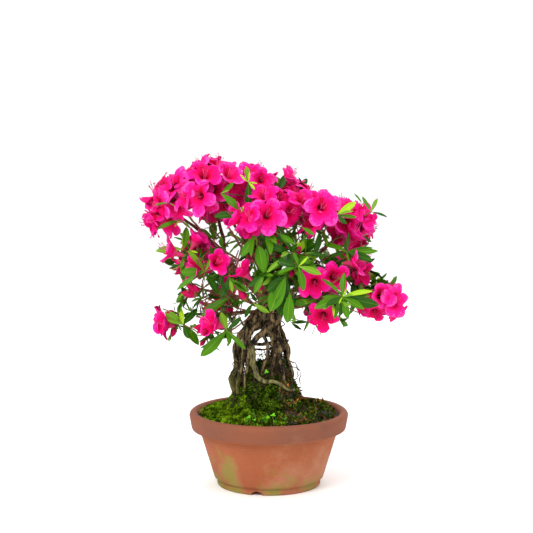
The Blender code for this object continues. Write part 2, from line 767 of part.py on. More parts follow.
def grow_mass(limb, lines, space, rng):
    """The shoots and leaves of one mass, by a seeded rule. Its first shoot is its stem."""
    outward = (lines[limb.name][0][-1] - HEART).normalized()
    stem = stem_of(lines[limb.name][0])
    hub = stem.start.lerp(stem.end, HUB_REACH / STEM_LENGTH)
    shoots = [stem]
    blooming = []
    bare = []
    first_turn = rng.uniform(0, math.tau)
    low, high = STEM_JOINTS
    for index in range(TRIES):
        tilt = SPREAD * math.sqrt((index + FIRST_TRY) / TRIES)
        direction = tilted(outward, tilt, first_turn + index * GOLDEN_TURN)
        reach = rng.random()
        order = len(shoots) / (limb.blooms + limb.sprays + 1)
        root = stem.start.lerp(stem.end, high + (low - high) * order)
        shoot = None
        if len(blooming) < limb.blooms:
            length = BLOOM_SHOOT[0] + (BLOOM_SHOOT[1] - BLOOM_SHOOT[0]) * reach
            shoot = bloom_at(root, hub + direction * length, outward, blooming, limb, space, rng)
        if shoot:
            shoots.append(shoot)
            blooming.append(shoot)
        elif len(bare) < limb.sprays and tilt > LEAST_SPRAY_TILT:
            length = SPRAY_SHOOT[0] + (SPRAY_SHOOT[1] - SPRAY_SHOOT[0]) * reach
            shoot = Shoot(root, hub + direction * length, SHOOT_RADIUS, SHOOT_TIP_RADIUS, None)
            flowers = [bloom_middle(other) for other in blooming]
            tips = [other.end for other in bare]
            if are_apart([shoot.end], flowers + tips, SPRAY_SPACING) \
                    and space.holds(limb.name, shoot_points(shoot)):
                shoots.append(shoot)
                bare.append(shoot)
    leaves = []
    taken = [point for shoot in blooming for point in shoot_points(shoot)[SHOOT_SAMPLES:]]
    for shoot in bare:
        leaves += leaves_along(space, limb.name, shoot, SPRAY_LEAVES, SPRAY_LEAN, taken, rng)
    for shoot in blooming:
        leaves += leaves_along(space, limb.name, shoot, BLOOM_LEAVES, BLOOM_LEAN, taken, rng)
    return shoots, leaves


# ---------------------------------------------------------------- masses: solids

def band(shape, lower, upper):
    """Faces between two closed loops of unlike counts, which keep step with each other."""
    start = min(range(len(upper)), key=lambda index: (upper[index].co - lower[0].co).length)
    upper = upper[start:] + upper[:start]
    low = 0
    high = 0
    while low < len(lower) or high < len(upper):
        here_low = lower[low % len(lower)]
        here_high = upper[high % len(upper)]
        if high * len(lower) <= low * len(upper):
            high += 1
            shape.faces.new((here_low, upper[high % len(upper)], here_high))
        else:
            low += 1
            shape.faces.new((here_low, lower[low % len(lower)], here_high))


def shoot_mesh(shoot):
    """A three-sided shoot that opens into its bloom, or ends in a bud."""
    shape = bmesh.new()
    lower, upper = ([shape.verts.new(point) for point in ring] for ring in shoot_rings(shoot))
    band(shape, lower, upper)
    shape.faces.new(lower[::-1])
    if shoot.bloom:
        rim = [shape.verts.new(point) for point in bloom_rim(shoot)]
        band(shape, upper, rim)
        throat = shoot.end + shoot.bloom.facing * shoot.bloom.depth * BLOOM_THROAT
        crown, loop = shape.verts.new(throat), rim
    else:
        axis = (shoot.end - shoot.start).normalized()
        crown, loop = shape.verts.new(shoot.end + axis * BUD_LENGTH), upper
    for here, following in zip(loop, loop[1:] + loop[:1]):
        shape.faces.new((here, following, crown))
    bmesh.ops.recalc_face_normals(shape, faces=shape.faces)
    mesh = bpy.data.meshes.new("shoot")
    shape.to_mesh(mesh)
    shape.free()
    return mesh


def leaf_mesh(leaf):
    """A leaf as a flattened eight-faced spindle."""
    shape = bmesh.new()
    bmesh.ops.create_uvsphere(shape, u_segments=4, v_segments=2, radius=0.5)
    size = (leaf.length * LEAF_WIDTH, LEAF_THICKNESS, leaf.length)
    bmesh.ops.scale(shape, vec=size, verts=shape.verts)
    middle = leaf.base + leaf.direction * leaf.length / 2
    bmesh.ops.transform(shape, matrix=aimed(middle, leaf.direction, leaf.up), verts=shape.verts)
    mesh = bpy.data.meshes.new("leaf")
    shape.to_mesh(mesh)
    shape.free()
    return mesh


def build_masses(lines, parts, material):
    space = Space(lines)
    for index, limb in enumerate(CROWN):
        rng = random.Random(MASS_SEED + index)
        shoots, leaves = grow_mass(limb, lines, space, rng)
        pieces = [shoot_mesh(shoot) for shoot in shoots] + [leaf_mesh(leaf) for leaf in leaves]
        fused("mass_" + limb.name, pieces, parts, material, "MANIFOLD")


# ---------------------------------------------------------------- the whole plant

def main():
    clear_scene()
    parts = new_collection("azalea_bonsai")
    cutters = new_collection("cutters")
    terracotta = new_material("terracotta", (0.58, 0.17, 0.07), 0.85)
    moss = new_material("moss", (0.06, 0.13, 0.02), 0.95)
    bark = new_material("bark", (0.14, 0.09, 0.05), 0.85)
    foliage = new_material("foliage", (0.80, 0.02, 0.22), 0.50)
    build_pot(parts, cutters, terracotta)
    build_trunk(parts, bark)
    soil = build_soil(parts, moss)
    cut_root_sockets(soil, cutters)
    lines = limb_lines()
    build_limbs(lines, parts, cutters, bark)
    build_masses(lines, parts, foliage)


main()
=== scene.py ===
# %% [markdown]
# # A bared-root azalea bonsai in flower
# This notebook dresses a measured model of a potted azalea. The model gives the pot, the moss
# mound, the trunk on its bared roots, the boughs and the masses of foliage as plain solids. Each
# cell makes one real thing in their place: thrown clay, growing moss, bark, twigs, leaves and
# blossom. All lengths are metres, +Z is up, and the tree's front faces -Y.

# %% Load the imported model
import json
import itertools
import math
import random
from collections import namedtuple

import bmesh
import bpy
import numpy as np
from mathutils import Matrix, Vector
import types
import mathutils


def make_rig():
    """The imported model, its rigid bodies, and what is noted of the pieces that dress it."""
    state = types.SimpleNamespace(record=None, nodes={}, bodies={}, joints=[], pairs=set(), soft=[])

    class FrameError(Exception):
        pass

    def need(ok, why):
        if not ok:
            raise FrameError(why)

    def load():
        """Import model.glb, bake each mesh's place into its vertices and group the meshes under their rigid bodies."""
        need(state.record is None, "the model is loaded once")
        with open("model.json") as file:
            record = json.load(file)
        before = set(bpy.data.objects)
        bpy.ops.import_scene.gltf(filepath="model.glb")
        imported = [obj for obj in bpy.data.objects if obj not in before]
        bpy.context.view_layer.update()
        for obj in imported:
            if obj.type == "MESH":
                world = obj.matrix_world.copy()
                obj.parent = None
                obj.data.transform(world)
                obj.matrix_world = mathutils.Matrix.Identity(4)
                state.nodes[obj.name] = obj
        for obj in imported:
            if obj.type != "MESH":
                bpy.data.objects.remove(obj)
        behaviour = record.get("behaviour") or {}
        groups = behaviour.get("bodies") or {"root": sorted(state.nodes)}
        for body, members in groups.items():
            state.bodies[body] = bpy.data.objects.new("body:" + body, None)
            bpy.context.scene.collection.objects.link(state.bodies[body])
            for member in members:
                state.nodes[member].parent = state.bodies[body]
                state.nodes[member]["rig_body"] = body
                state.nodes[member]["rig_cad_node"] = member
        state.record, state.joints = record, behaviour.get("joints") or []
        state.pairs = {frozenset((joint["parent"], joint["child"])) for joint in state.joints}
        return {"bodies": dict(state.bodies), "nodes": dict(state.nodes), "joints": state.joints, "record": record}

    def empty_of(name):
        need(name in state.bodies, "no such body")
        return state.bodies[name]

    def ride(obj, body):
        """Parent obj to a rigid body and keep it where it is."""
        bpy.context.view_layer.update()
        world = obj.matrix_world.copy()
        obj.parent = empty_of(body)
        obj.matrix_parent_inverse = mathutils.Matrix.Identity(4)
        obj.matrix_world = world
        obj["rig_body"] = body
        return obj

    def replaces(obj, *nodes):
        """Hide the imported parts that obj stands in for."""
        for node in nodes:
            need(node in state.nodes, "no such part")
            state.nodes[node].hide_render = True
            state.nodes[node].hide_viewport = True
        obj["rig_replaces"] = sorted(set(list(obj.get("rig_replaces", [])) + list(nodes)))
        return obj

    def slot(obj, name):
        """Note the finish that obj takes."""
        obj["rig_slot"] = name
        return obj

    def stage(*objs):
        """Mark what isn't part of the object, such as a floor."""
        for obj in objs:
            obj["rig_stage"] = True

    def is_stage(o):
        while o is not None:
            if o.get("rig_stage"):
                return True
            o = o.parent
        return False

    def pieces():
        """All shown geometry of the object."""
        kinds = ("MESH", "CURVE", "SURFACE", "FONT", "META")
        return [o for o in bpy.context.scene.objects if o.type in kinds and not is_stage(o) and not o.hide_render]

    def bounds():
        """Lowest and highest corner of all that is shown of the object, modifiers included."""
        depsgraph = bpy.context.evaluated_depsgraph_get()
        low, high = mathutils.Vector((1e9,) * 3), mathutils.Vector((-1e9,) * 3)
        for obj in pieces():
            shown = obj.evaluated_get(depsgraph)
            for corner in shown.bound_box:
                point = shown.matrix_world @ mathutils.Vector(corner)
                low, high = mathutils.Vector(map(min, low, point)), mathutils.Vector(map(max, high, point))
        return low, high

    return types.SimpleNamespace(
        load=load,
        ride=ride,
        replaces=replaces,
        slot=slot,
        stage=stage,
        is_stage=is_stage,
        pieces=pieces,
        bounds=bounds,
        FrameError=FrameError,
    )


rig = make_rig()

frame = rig.load()
bpy.context.view_layer.update()
cad_bounds = [list(corner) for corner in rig.bounds()]
boughs = sorted(name for name in frame["nodes"] if name.startswith("bough_"))
masses = sorted(name for name in frame["nodes"] if name.startswith("mass_"))
MM = 0.001
print(f"{len(boughs)} boughs and {len(masses)} masses, in a box of {cad_bounds}")

# %% [markdown]
# ## A few helpers
# Colours are written as the sRGB codes that a painter would pick, and turned to the linear
# values that shaders work in. One function adds any node, of a shader or of Geometry Nodes,
# with its settings and its links, so that each tree below reads as a short list.


# %% Colours and nodes
def linear(code):
    """An sRGB hex colour as linear red, green, blue and alpha."""
    parts = [int(code[i:i + 2], 16) / 255 for i in (1, 3, 5)]
    return [p / 12.92 if p <= 0.04045 else ((p + 0.055) / 1.055) ** 2.4 for p in parts] + [1.0]


def add(tree, kind, inputs=None, **settings):
    """Adds a node. inputs gives each socket a value, or another node's output to read."""
    made = tree.nodes.new(kind)
    for name, value in settings.items():
        setattr(made, name, value)
    for name, value in (inputs or {}).items():
        if isinstance(value, bpy.types.NodeSocket):
            tree.links.new(value, made.inputs[name])
        else:
            made.inputs[name].default_value = value
    return made


def new_finish(name, colour, roughness, **sockets):
    """A Principled material with plain sockets. Patterns are added to it by the caller."""
    material = bpy.data.materials.new(name)
    material.use_nodes = True
    shader = material.node_tree.nodes["Principled BSDF"]
    shader.inputs["Base Color"].default_value = linear(colour)
    shader.inputs["Roughness"].default_value = roughness
    for socket, value in sockets.items():
        shader.inputs[socket.replace("_", " ")].default_value = value
    material.diffuse_color = linear(colour)
    return material, material.node_tree, shader


def blended(tree, share, below, above):
    """A colour that goes from below to above as share goes from 0 to 1."""
    mix = add(tree, "ShaderNodeMix", data_type="RGBA")
    for socket, value in ((mix.inputs[0], share), (mix.inputs[6], below), (mix.inputs[7], above)):
        if isinstance(value, bpy.types.NodeSocket):
            tree.links.new(value, socket)
        else:
            socket.default_value = value
    return mix.outputs[2]


def roughened(tree, shader, height, distance, strength=1.0):
    """Turns a pattern's height into bump on a material."""
    bump = add(tree, "ShaderNodeBump",
               {"Height": height, "Distance": distance, "Strength": strength})
    tree.links.new(bump.outputs["Normal"], shader.inputs["Normal"])


# %% Geometry Nodes trees and pieces
def new_tree(name, **inputs):
    """An empty Geometry Nodes tree with a named number input for each size."""
    tree = bpy.data.node_groups.new(name, "GeometryNodeTree")
    tree.interface.new_socket("Geometry", in_out="OUTPUT", socket_type="NodeSocketGeometry")
    tree.interface.new_socket("Geometry", in_out="INPUT", socket_type="NodeSocketGeometry")
    for label, value in inputs.items():
        kind = "NodeSocketInt" if isinstance(value, int) else "NodeSocketFloat"
        socket = tree.interface.new_socket(label, in_out="INPUT", socket_type=kind)
        socket.default_value = value
    return tree, add(tree, "NodeGroupInput").outputs


def close_tree(tree, geometry):
    """Ends a tree at its output."""
    add(tree, "NodeGroupOutput", {"Geometry": geometry})


def new_piece(name, mesh):
    piece = bpy.data.objects.new(name, mesh)
    bpy.context.scene.collection.objects.link(piece)
    return piece


def grown(source, name, tree, **sizes):
    """Runs a tree on an object and keeps the result as a plain piece of its own."""
    modifier = source.modifiers.new(tree.name, "NODES")
    modifier.node_group = tree
    for socket in tree.interface.items_tree:
        if socket.in_out == "INPUT" and socket.name in sizes:
            modifier[socket.identifier] = sizes[socket.name]
    graph = bpy.context.evaluated_depsgraph_get()
    mesh = bpy.data.meshes.new_from_object(source.evaluated_get(graph), depsgraph=graph)
    bpy.data.objects.remove(source)
    mesh.name = name
    return new_piece(name, mesh)


def settle(piece, slot, *nodes):
    """Lets a piece ride on the plant's one body, and stand for the solids it covers."""
    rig.ride(piece, "root")
    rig.slot(piece, slot)
    if nodes:
        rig.replaces(piece, *nodes)
    piece.data.calc_loop_triangles()
    print(f"{piece.name}: {len(piece.data.loop_triangles)} triangles")


# %% [markdown]
# ## The camera, the light and the floor
# The picture is taken from a little above the rim of the pot, as one looks at a bonsai on a
# table, with a long lens that keeps the pot's sides nearly straight. Three large soft boxes
# stand round the plant, and the pale room fills the shadows.

# %% Studio
CAMERA_PLACE = (-2.6 * MM, -1.564, 0.422)
CAMERA_PITCH = math.radians(83.63)
CAMERA_LENS = 94.8
PALE_FLOOR = "#FCFCFB"
ROOM_LIGHT = 0.40                  # the room shines this much on the plant, and looks white
SOFT_BOXES = {                     # place, aim, size and power
    "key_light": ((-0.75, -1.15, 1.25), (0.0, 0.0, 0.22), 0.7, 19.0),
    "fill_light": ((1.15, -0.85, 0.75), (0.0, 0.0, 0.20), 1.0, 4.0),
    "rim_light": ((0.35, 1.1, 1.1), (0.0, 0.0, 0.25), 0.8, 8.0),
}
CEILING_LIGHT = 2.2                # an even glow from above, wide enough to leave no hard shadow
CEILING_SPREAD = math.radians(130)

camera = bpy.data.objects.new("camera", bpy.data.cameras.new("camera"))
camera.data.lens = CAMERA_LENS
camera.data.clip_start = 0.05
camera.location = CAMERA_PLACE
camera.rotation_euler = (CAMERA_PITCH, 0.0, 0.0)
bpy.context.scene.collection.objects.link(camera)
bpy.context.scene.camera = camera
bpy.context.scene.view_settings.view_transform = "Standard"

for name, (place, aim, size, power) in SOFT_BOXES.items():
    lamp = bpy.data.lights.new(name, "AREA")
    lamp.size = size
    lamp.energy = power
    box = bpy.data.objects.new(name, lamp)
    box.location = place
    box.rotation_euler = (Vector(aim) - Vector(place)).to_track_quat("-Z", "Y").to_euler()
    bpy.context.scene.collection.objects.link(box)

ceiling = bpy.data.lights.new("ceiling_glow", "SUN")
ceiling.energy = CEILING_LIGHT
ceiling.angle = CEILING_SPREAD
bpy.context.scene.collection.objects.link(bpy.data.objects.new("ceiling_glow", ceiling))

room = bpy.data.worlds.new("pale_room")
room.use_nodes = True
seen_walls = room.node_tree.nodes["Background"]
seen_walls.inputs["Color"].default_value = linear("#FFFFFF")
lit_walls = add(room.node_tree, "ShaderNodeBackground",
                {"Color": linear("#FFFFFF"), "Strength": ROOM_LIGHT})
straight_look = add(room.node_tree, "ShaderNodeLightPath").outputs["Is Camera Ray"]
walls = add(room.node_tree, "ShaderNodeMixShader",
            {0: straight_look, 1: lit_walls.outputs[0], 2: seen_walls.outputs[0]})
room_output = room.node_tree.nodes["World Output"]
room.node_tree.links.new(walls.outputs[0], room_output.inputs["Surface"])
bpy.context.scene.world = room

shape = bmesh.new()
bmesh.ops.create_grid(shape, x_segments=1, y_segments=1, size=12.0)
ground = bpy.data.meshes.new("floor")
shape.to_mesh(ground)
shape.free()
floor = new_piece("floor", ground)
floor.data.materials.append(new_finish("pale_board", PALE_FLOOR, 0.9)[0])
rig.stage(floor)

# %% [markdown]
# ## Small geometry
# Headings are degrees round the trunk, as one would point on a turntable: 0 is right, 90 is
# back, 180 is left and 270 is front.


# %% Directions and lines
def polar(heading, reach, height):
    angle = math.radians(heading)
    return Vector((reach * math.cos(angle), reach * math.sin(angle), height))


def any_side(direction):
    """A unit vector square to direction."""
    helper = Vector((0, 0, 1)) if abs(direction.z) < 0.9 else Vector((1, 0, 0))
    return direction.cross(helper).normalized()


def tilted(direction, tilt, turn):
    """Direction leaned by tilt, towards the side that turn names."""
    side = Matrix.Rotation(turn, 3, direction) @ any_side(direction)
    return (direction * math.cos(tilt) + side * math.sin(tilt)).normalized()


def aimed(origin, direction, up=None):
    """A matrix that puts a shape's origin at origin and its +Z along direction."""
    forward = direction.normalized()
    side = forward.cross(up).normalized() if up else any_side(forward)
    matrix = Matrix((side, forward.cross(side), forward)).transposed().to_4x4()
    matrix.translation = origin
    return matrix


def smooth_line(knots, steps):
    """Points along a Catmull-Rom curve through the knots, evenly spread by parameter."""
    ends = [2 * knots[0] - knots[1], *knots, 2 * knots[-1] - knots[-2]]
    spans = len(knots) - 1
    line = []
    for step in range(steps + 1):
        place = step / steps * spans
        span = min(int(place), spans - 1)
        t = place - span
        a, b, c, d = ends[span:span + 4]
        line.append(0.5 * (2 * b + (c - a) * t + (2 * a - 5 * b + 4 * c - d) * t ** 2
                           + (3 * b - a - 3 * c + d) * t ** 3))
    return line


def wander(line, amount, rng):
    """Strays the inner points of a line a little, as wood grows."""
    strayed = [line[0]]
    for point in line[1:-1]:
        stray = Vector((rng.uniform(-1, 1), rng.uniform(-1, 1), rng.uniform(-1, 1)))
        strayed.append(point + stray * amount)
    return strayed + [line[-1]]


def point_on(line, share):
    place = share * (len(line) - 1)
    index = min(int(place), len(line) - 2)
    return line[index].lerp(line[index + 1], place - index)


# %% [markdown]
# ## Wood from lines
# Every root, bough and twig is a line with a radius at each point. A Geometry Nodes tree sweeps
# a round section along all of them at once and pushes the surface in and out by a noise, which
# is how bark comes by its relief.


# %% The tree that sweeps wood along lines
def line_object(name, limbs):
    """A curve object with one open spline for each limb, given as points and radii."""
    curve = bpy.data.curves.new(name, "CURVE")
    curve.dimensions = "3D"
    for line, radii in limbs:
        spline = curve.splines.new("POLY")
        spline.points.add(len(line) - 1)
        for point, place, radius in zip(spline.points, line, radii):
            point.co = (*place, 1.0)
            point.radius = radius
    return new_piece(name, curve)


def wood_tree(material):
    tree, inputs = new_tree("wood_along_lines", Sides=8, Relief=0.0003, Grain=0.003)
    section = add(tree, "GeometryNodeCurvePrimitiveCircle",
                  {"Resolution": inputs["Sides"], "Radius": 1.0})
    radius = add(tree, "GeometryNodeInputRadius")
    swept = add(tree, "GeometryNodeCurveToMesh",
                {"Curve": inputs["Geometry"], "Profile Curve": section.outputs["Curve"],
                 "Scale": radius.outputs["Radius"], "Fill Caps": True})
    barked = add_relief(tree, swept.outputs["Mesh"], inputs["Relief"], inputs["Grain"], 0.6)
    smooth = add(tree, "GeometryNodeSetShadeSmooth", {"Geometry": barked})
    finished = add(tree, "GeometryNodeSetMaterial",
                   {"Geometry": smooth.outputs["Geometry"], "Material": material})
    close_tree(tree, finished.outputs["Geometry"])
    return tree


def add_relief(tree, geometry, relief, grain, stretch):
    """Moves a surface along its normal by a noise whose lumps are grain wide, and taller."""
    place = add(tree, "GeometryNodeInputPosition")
    flattened = add(tree, "ShaderNodeVectorMath",
                    {0: place.outputs[0], 1: (1.0, 1.0, stretch)}, operation="MULTIPLY")
    scale = add(tree, "ShaderNodeMath", {0: 1.0, 1: grain}, operation="DIVIDE")
    noise = add(tree, "ShaderNodeTexNoise",
                {"Vector": flattened.outputs[0], "Scale": scale.outputs[0], "Detail": 3.0})
    centred = add(tree, "ShaderNodeMath", {0: noise.outputs[0], 1: 0.5}, operation="SUBTRACT")
    height = add(tree, "ShaderNodeMath", {0: centred.outputs[0], 1: relief}, operation="MULTIPLY")
    normal = add(tree, "GeometryNodeInputNormal")
    push = add(tree, "ShaderNodeVectorMath",
               {0: normal.outputs[0], "Scale": height.outputs[0]}, operation="SCALE")
    moved = add(tree, "GeometryNodeSetPosition", {"Geometry": geometry, "Offset": push.outputs[0]})
    return moved.outputs["Geometry"]


# %% [markdown]
# ## Bark
# Azalea bark is thin and grey-brown, with fine lengthwise cracks. Roots that have stood in the
# air for years weather the same way, and turn olive where algae grow on their damp side, at the
# front and left of this tree. Young shoots are redder and smooth.

# %% Bark and twig finishes
BARK_CRACK = 2.0 * MM              # from one lengthwise crack to the next
ALGAE_PATCH = 14 * MM

weathered_bark, tree, shader = new_finish("weathered_azalea_bark", "#6B583A", 0.9, Specular_IOR_Level=0.25)
where = add(tree, "ShaderNodeTexCoord").outputs["Object"]
along = add(tree, "ShaderNodeMapping", {"Vector": where, "Scale": (1.0, 1.0, 0.30)})
cracks = add(tree, "ShaderNodeTexNoise",
             {"Vector": along.outputs[0], "Scale": 0.5 / BARK_CRACK, "Detail": 6.0,
              "Roughness": 0.65})
crack_ramp = add(tree, "ShaderNodeValToRGB", {"Fac": cracks.outputs[0]})
crack_ramp.color_ramp.elements[0].position = 0.44
crack_ramp.color_ramp.elements[0].color = linear("#0E0905")
crack_ramp.color_ramp.elements[1].position = 0.62
crack_ramp.color_ramp.elements[1].color = linear("#907A54")
patches = add(tree, "ShaderNodeTexNoise",
              {"Vector": where, "Scale": 0.5 / ALGAE_PATCH, "Detail": 2.0})
parts_of = add(tree, "ShaderNodeSeparateXYZ", {"Vector": where})
damp_side = add(tree, "ShaderNodeMapRange",
                {"Value": parts_of.outputs["X"], "From Min": 0.012, "From Max": -0.030,
                 "To Min": 0.0, "To Max": 0.75})
low_down = add(tree, "ShaderNodeMapRange",
               {"Value": parts_of.outputs["Z"], "From Min": 0.175, "From Max": 0.125,
                "To Min": 0.0, "To Max": 0.62})
damp = add(tree, "ShaderNodeMath", {0: damp_side.outputs[0], 1: low_down.outputs[0]},
           operation="MULTIPLY")
algae = add(tree, "ShaderNodeMath", {0: damp.outputs[0], 1: patches.outputs[0]},
            operation="MULTIPLY")
algae_share = add(tree, "ShaderNodeMapRange",
                  {"Value": algae.outputs[0], "From Min": 0.10, "From Max": 0.40})
bark_colour = blended(tree, algae_share.outputs[0], crack_ramp.outputs[0], linear("#5C5E26"))
tree.links.new(bark_colour, shader.inputs["Base Color"])
roughened(tree, shader, cracks.outputs[0], 0.9 * MM, 1.0)

bough_bark, tree, shader = new_finish("red_brown_bough_bark", "#6E4630", 0.8,
                                      Specular_IOR_Level=0.25)
where = add(tree, "ShaderNodeTexCoord").outputs["Object"]
scales = add(tree, "ShaderNodeTexNoise", {"Vector": where, "Scale": 0.5 / BARK_CRACK,
                                          "Detail": 5.0, "Roughness": 0.65})
scale_share = add(tree, "ShaderNodeMapRange", {"Value": scales.outputs[0], "From Min": 0.36,
                                               "From Max": 0.64})
bough_colour = blended(tree, scale_share.outputs[0], linear("#2C180E"), linear("#96684A"))
tree.links.new(bough_colour, shader.inputs["Base Color"])
roughened(tree, shader, scales.outputs[0], 0.6 * MM, 0.9)

twig_bark, tree, shader = new_finish("young_red_brown_twig", "#7A4630", 0.6)
where = add(tree, "ShaderNodeTexCoord").outputs["Object"]
streaks = add(tree, "ShaderNodeTexNoise", {"Vector": where, "Scale": 260.0, "Detail": 3.0})
twig_colour = blended(tree, streaks.outputs[0], linear("#4E2A1A"), linear("#A06A48"))
tree.links.new(twig_colour, shader.inputs["Base Color"])
roughened(tree, shader, streaks.outputs[0], 0.3 * MM, 0.5)

# %% [markdown]
# ## The rule of the crown
# The solids of the crown were grown by a rule: each limb forks from its parent at a share of its
# length and ends in one mass, and each mass spreads shoots round its outward line, in its own
# share of the space. The same rule and the same seeds are written again here, so that the twigs
# and the flowers stand where the solids have them. A second, finer pass then fills each mass
# with more twigs, leaf whorls and flowers.

# %% The limbs
HEAD = (                          # height and radius of the trunk's head
    (0.168, 0.0045),
    (0.176, 0.0085),
    (0.186, 0.0125),
    (0.196, 0.0130),
    (0.205, 0.0105),
    (0.216, 0.0085),
)
TRUNK_LEAN = -0.003
Limb = namedtuple("Limb", "name parent fork heading reach height girth blooms sprays")
CROWN = (
    Limb("left_tip", "trunk", 0.80, 177, 0.098, 0.302, 0.0040, 7, 2),
    Limb("left_crest", "left_tip", 0.48, 197, 0.062, 0.324, 0.0024, 7, 1),
    Limb("left_side", "left_tip", 0.34, 189, 0.068, 0.256, 0.0022, 4, 3),
    Limb("low_left_tip", "trunk", 0.56, 184, 0.084, 0.194, 0.0024, 1, 3),
    Limb("low_left_near", "low_left_tip", 0.26, 209, 0.057, 0.193, 0.0018, 1, 3),
    Limb("low_left_bud", "trunk", 0.70, 190, 0.066, 0.221, 0.0022, 0, 2),
    Limb("middle_crest", "trunk", 0.99, 165, 0.022, 0.317, 0.0042, 6, 2),
    Limb("front_face", "middle_crest", 0.42, 263, 0.060, 0.288, 0.0024, 6, 1),
    Limb("right_crest", "middle_crest", 0.52, 316, 0.056, 0.290, 0.0024, 6, 2),
    Limb("right_shoulder", "trunk", 0.80, 2, 0.080, 0.282, 0.0038, 6, 2),
    Limb("right_middle", "right_shoulder", 0.30, 296, 0.056, 0.256, 0.0020, 2, 5),
    Limb("right_side", "right_shoulder", 0.34, 341, 0.084, 0.236, 0.0022, 5, 4),
    Limb("right_tip", "trunk", 0.60, 341, 0.108, 0.218, 0.0034, 6, 2),
    Limb("low_right", "right_tip", 0.42, 319, 0.074, 0.222, 0.0020, 1, 4),
    Limb("middle_face", "trunk", 0.74, 274, 0.050, 0.244, 0.0028, 1, 7),
    Limb("low_face", "trunk", 0.70, 286, 0.044, 0.216, 0.0022, 0, 4),
    Limb("left_middle", "trunk", 0.76, 236, 0.056, 0.248, 0.0028, 4, 4),
    Limb("back_middle", "trunk", 0.78, 92, 0.062, 0.262, 0.0034, 5, 3),
    Limb("back_left_crest", "back_middle", 0.40, 136, 0.066, 0.302, 0.0024, 6, 2),
    Limb("back_left", "back_middle", 0.26, 151, 0.086, 0.250, 0.0024, 5, 2),
    Limb("back_right", "trunk", 0.66, 31, 0.088, 0.242, 0.0032, 5, 2),
    Limb("back_right_crest", "back_right", 0.44, 62, 0.058, 0.302, 0.0022, 6, 2),
    Limb("back_low_left", "trunk", 0.60, 128, 0.064, 0.208, 0.0024, 3, 3),
    Limb("back_low_right", "back_right", 0.30, 54, 0.064, 0.204, 0.0020, 3, 3),
)
TIP_GIRTH = 0.0014
LIMB_ARCH = 0.03
LIMB_WANDER = 0.0020
BOUGH_STEPS = 5
BRANCH_STEPS = 3
LIMB_SEED = 814


def trunk_axis(height):
    low = HEAD[0][0]
    high = HEAD[-1][0]
    share = max(0.0, (height - low) / (high - low))
    return Vector((TRUNK_LEAN * share, 0, height))


def limb_lines():
    """Every limb's line and radii, from its parent's middle to its own tip."""
    lines = {}
    trunk = [trunk_axis(height) for height, _ in HEAD]
    for index, limb in enumerate(CROWN):
        rng = random.Random(LIMB_SEED + index)
        main = limb.parent == "trunk"
        parent = trunk if main else lines[limb.parent][0]
        start = point_on(parent, limb.fork)
        tip = polar(limb.heading, limb.reach, limb.height)
        middle = start.lerp(tip, 0.5)
        middle.z += (tip - start).length * LIMB_ARCH
        steps = BOUGH_STEPS if main else BRANCH_STEPS
        line = wander(smooth_line([start, middle, tip], steps), LIMB_WANDER, rng)
        radii = [limb.girth + (TIP_GIRTH - limb.girth) * step / steps for step in range(steps + 1)]
        lines[limb.name] = (line, radii)
    return lines


lines = limb_lines()
print(f"{len(lines)} limbs")

# %% [markdown]
# ## Where shoots may grow
# Two flowers can't share one place, and a twig doesn't run through a limb. Each mass owns the
# points that are nearer to its middle than to any other's, and every shoot is tested before it
# is kept. The second pass may lean a few millimetres into its neighbours, as petals do.

# %% The crown's space
HEART = Vector((0.0, 0.0, 0.225))
STEM_LENGTH = 0.020
STEM_JOINTS = (0.38, 0.97)
HUB_REACH = 0.009
SHOOT_SAMPLES = 6
SHOOT_TESTED = 0.75
PETAL_TESTED = (0.35, 0.7, 1.0)
BLOOM_SHOOT = (0.011, 0.025)
SPRAY_SHOOT = (0.018, 0.028)
SPREAD = math.radians(98)
GOLDEN_TURN = math.radians(137.508)
CELL_MARGIN = 0.0004
LIMB_MARGIN = 0.0030
GAP = 0.0003
Bloom = namedtuple("Bloom", "facing turn radius depth form size", defaults=(None, None))
Shoot = namedtuple("Shoot", "start end bloom")
PETALS = 5
SHOULDER_ANGLE = math.radians(17)
NOTCH_REACH = 0.58
NOTCH_RISE = 0.82


def bloom_rim(end, bloom):
    """The points of a flower's rim: two on each petal and one in each notch."""
    frame_of = aimed(end, bloom.facing) @ Matrix.Rotation(bloom.turn, 4, "Z")
    rim = []
    for petal in range(PETALS):
        middle = math.tau * petal / PETALS
        for angle, reach, rise in ((middle - SHOULDER_ANGLE, 1.0, 1.0),
                                   (middle + SHOULDER_ANGLE, 1.0, 1.0),
                                   (middle + math.pi / PETALS, NOTCH_REACH, NOTCH_RISE)):
            across = bloom.radius * reach
            place = (across * math.cos(angle), across * math.sin(angle), bloom.depth * rise)
            rim.append(frame_of @ Vector(place))
    return rim


def bloom_middle(shoot):
    return shoot.end + shoot.bloom.facing * shoot.bloom.depth


def shoot_points(shoot):
    """Points that stand for a whole shoot when its space is tested."""
    points = []
    for sample in range(SHOOT_SAMPLES):
        points.append(shoot.end.lerp(shoot.start, SHOOT_TESTED * sample / (SHOOT_SAMPLES - 1)))
    if shoot.bloom:
        for point in bloom_rim(shoot.end, shoot.bloom):
            points += [shoot.end.lerp(point, share) for share in PETAL_TESTED]
        points.append(bloom_middle(shoot))
    return points


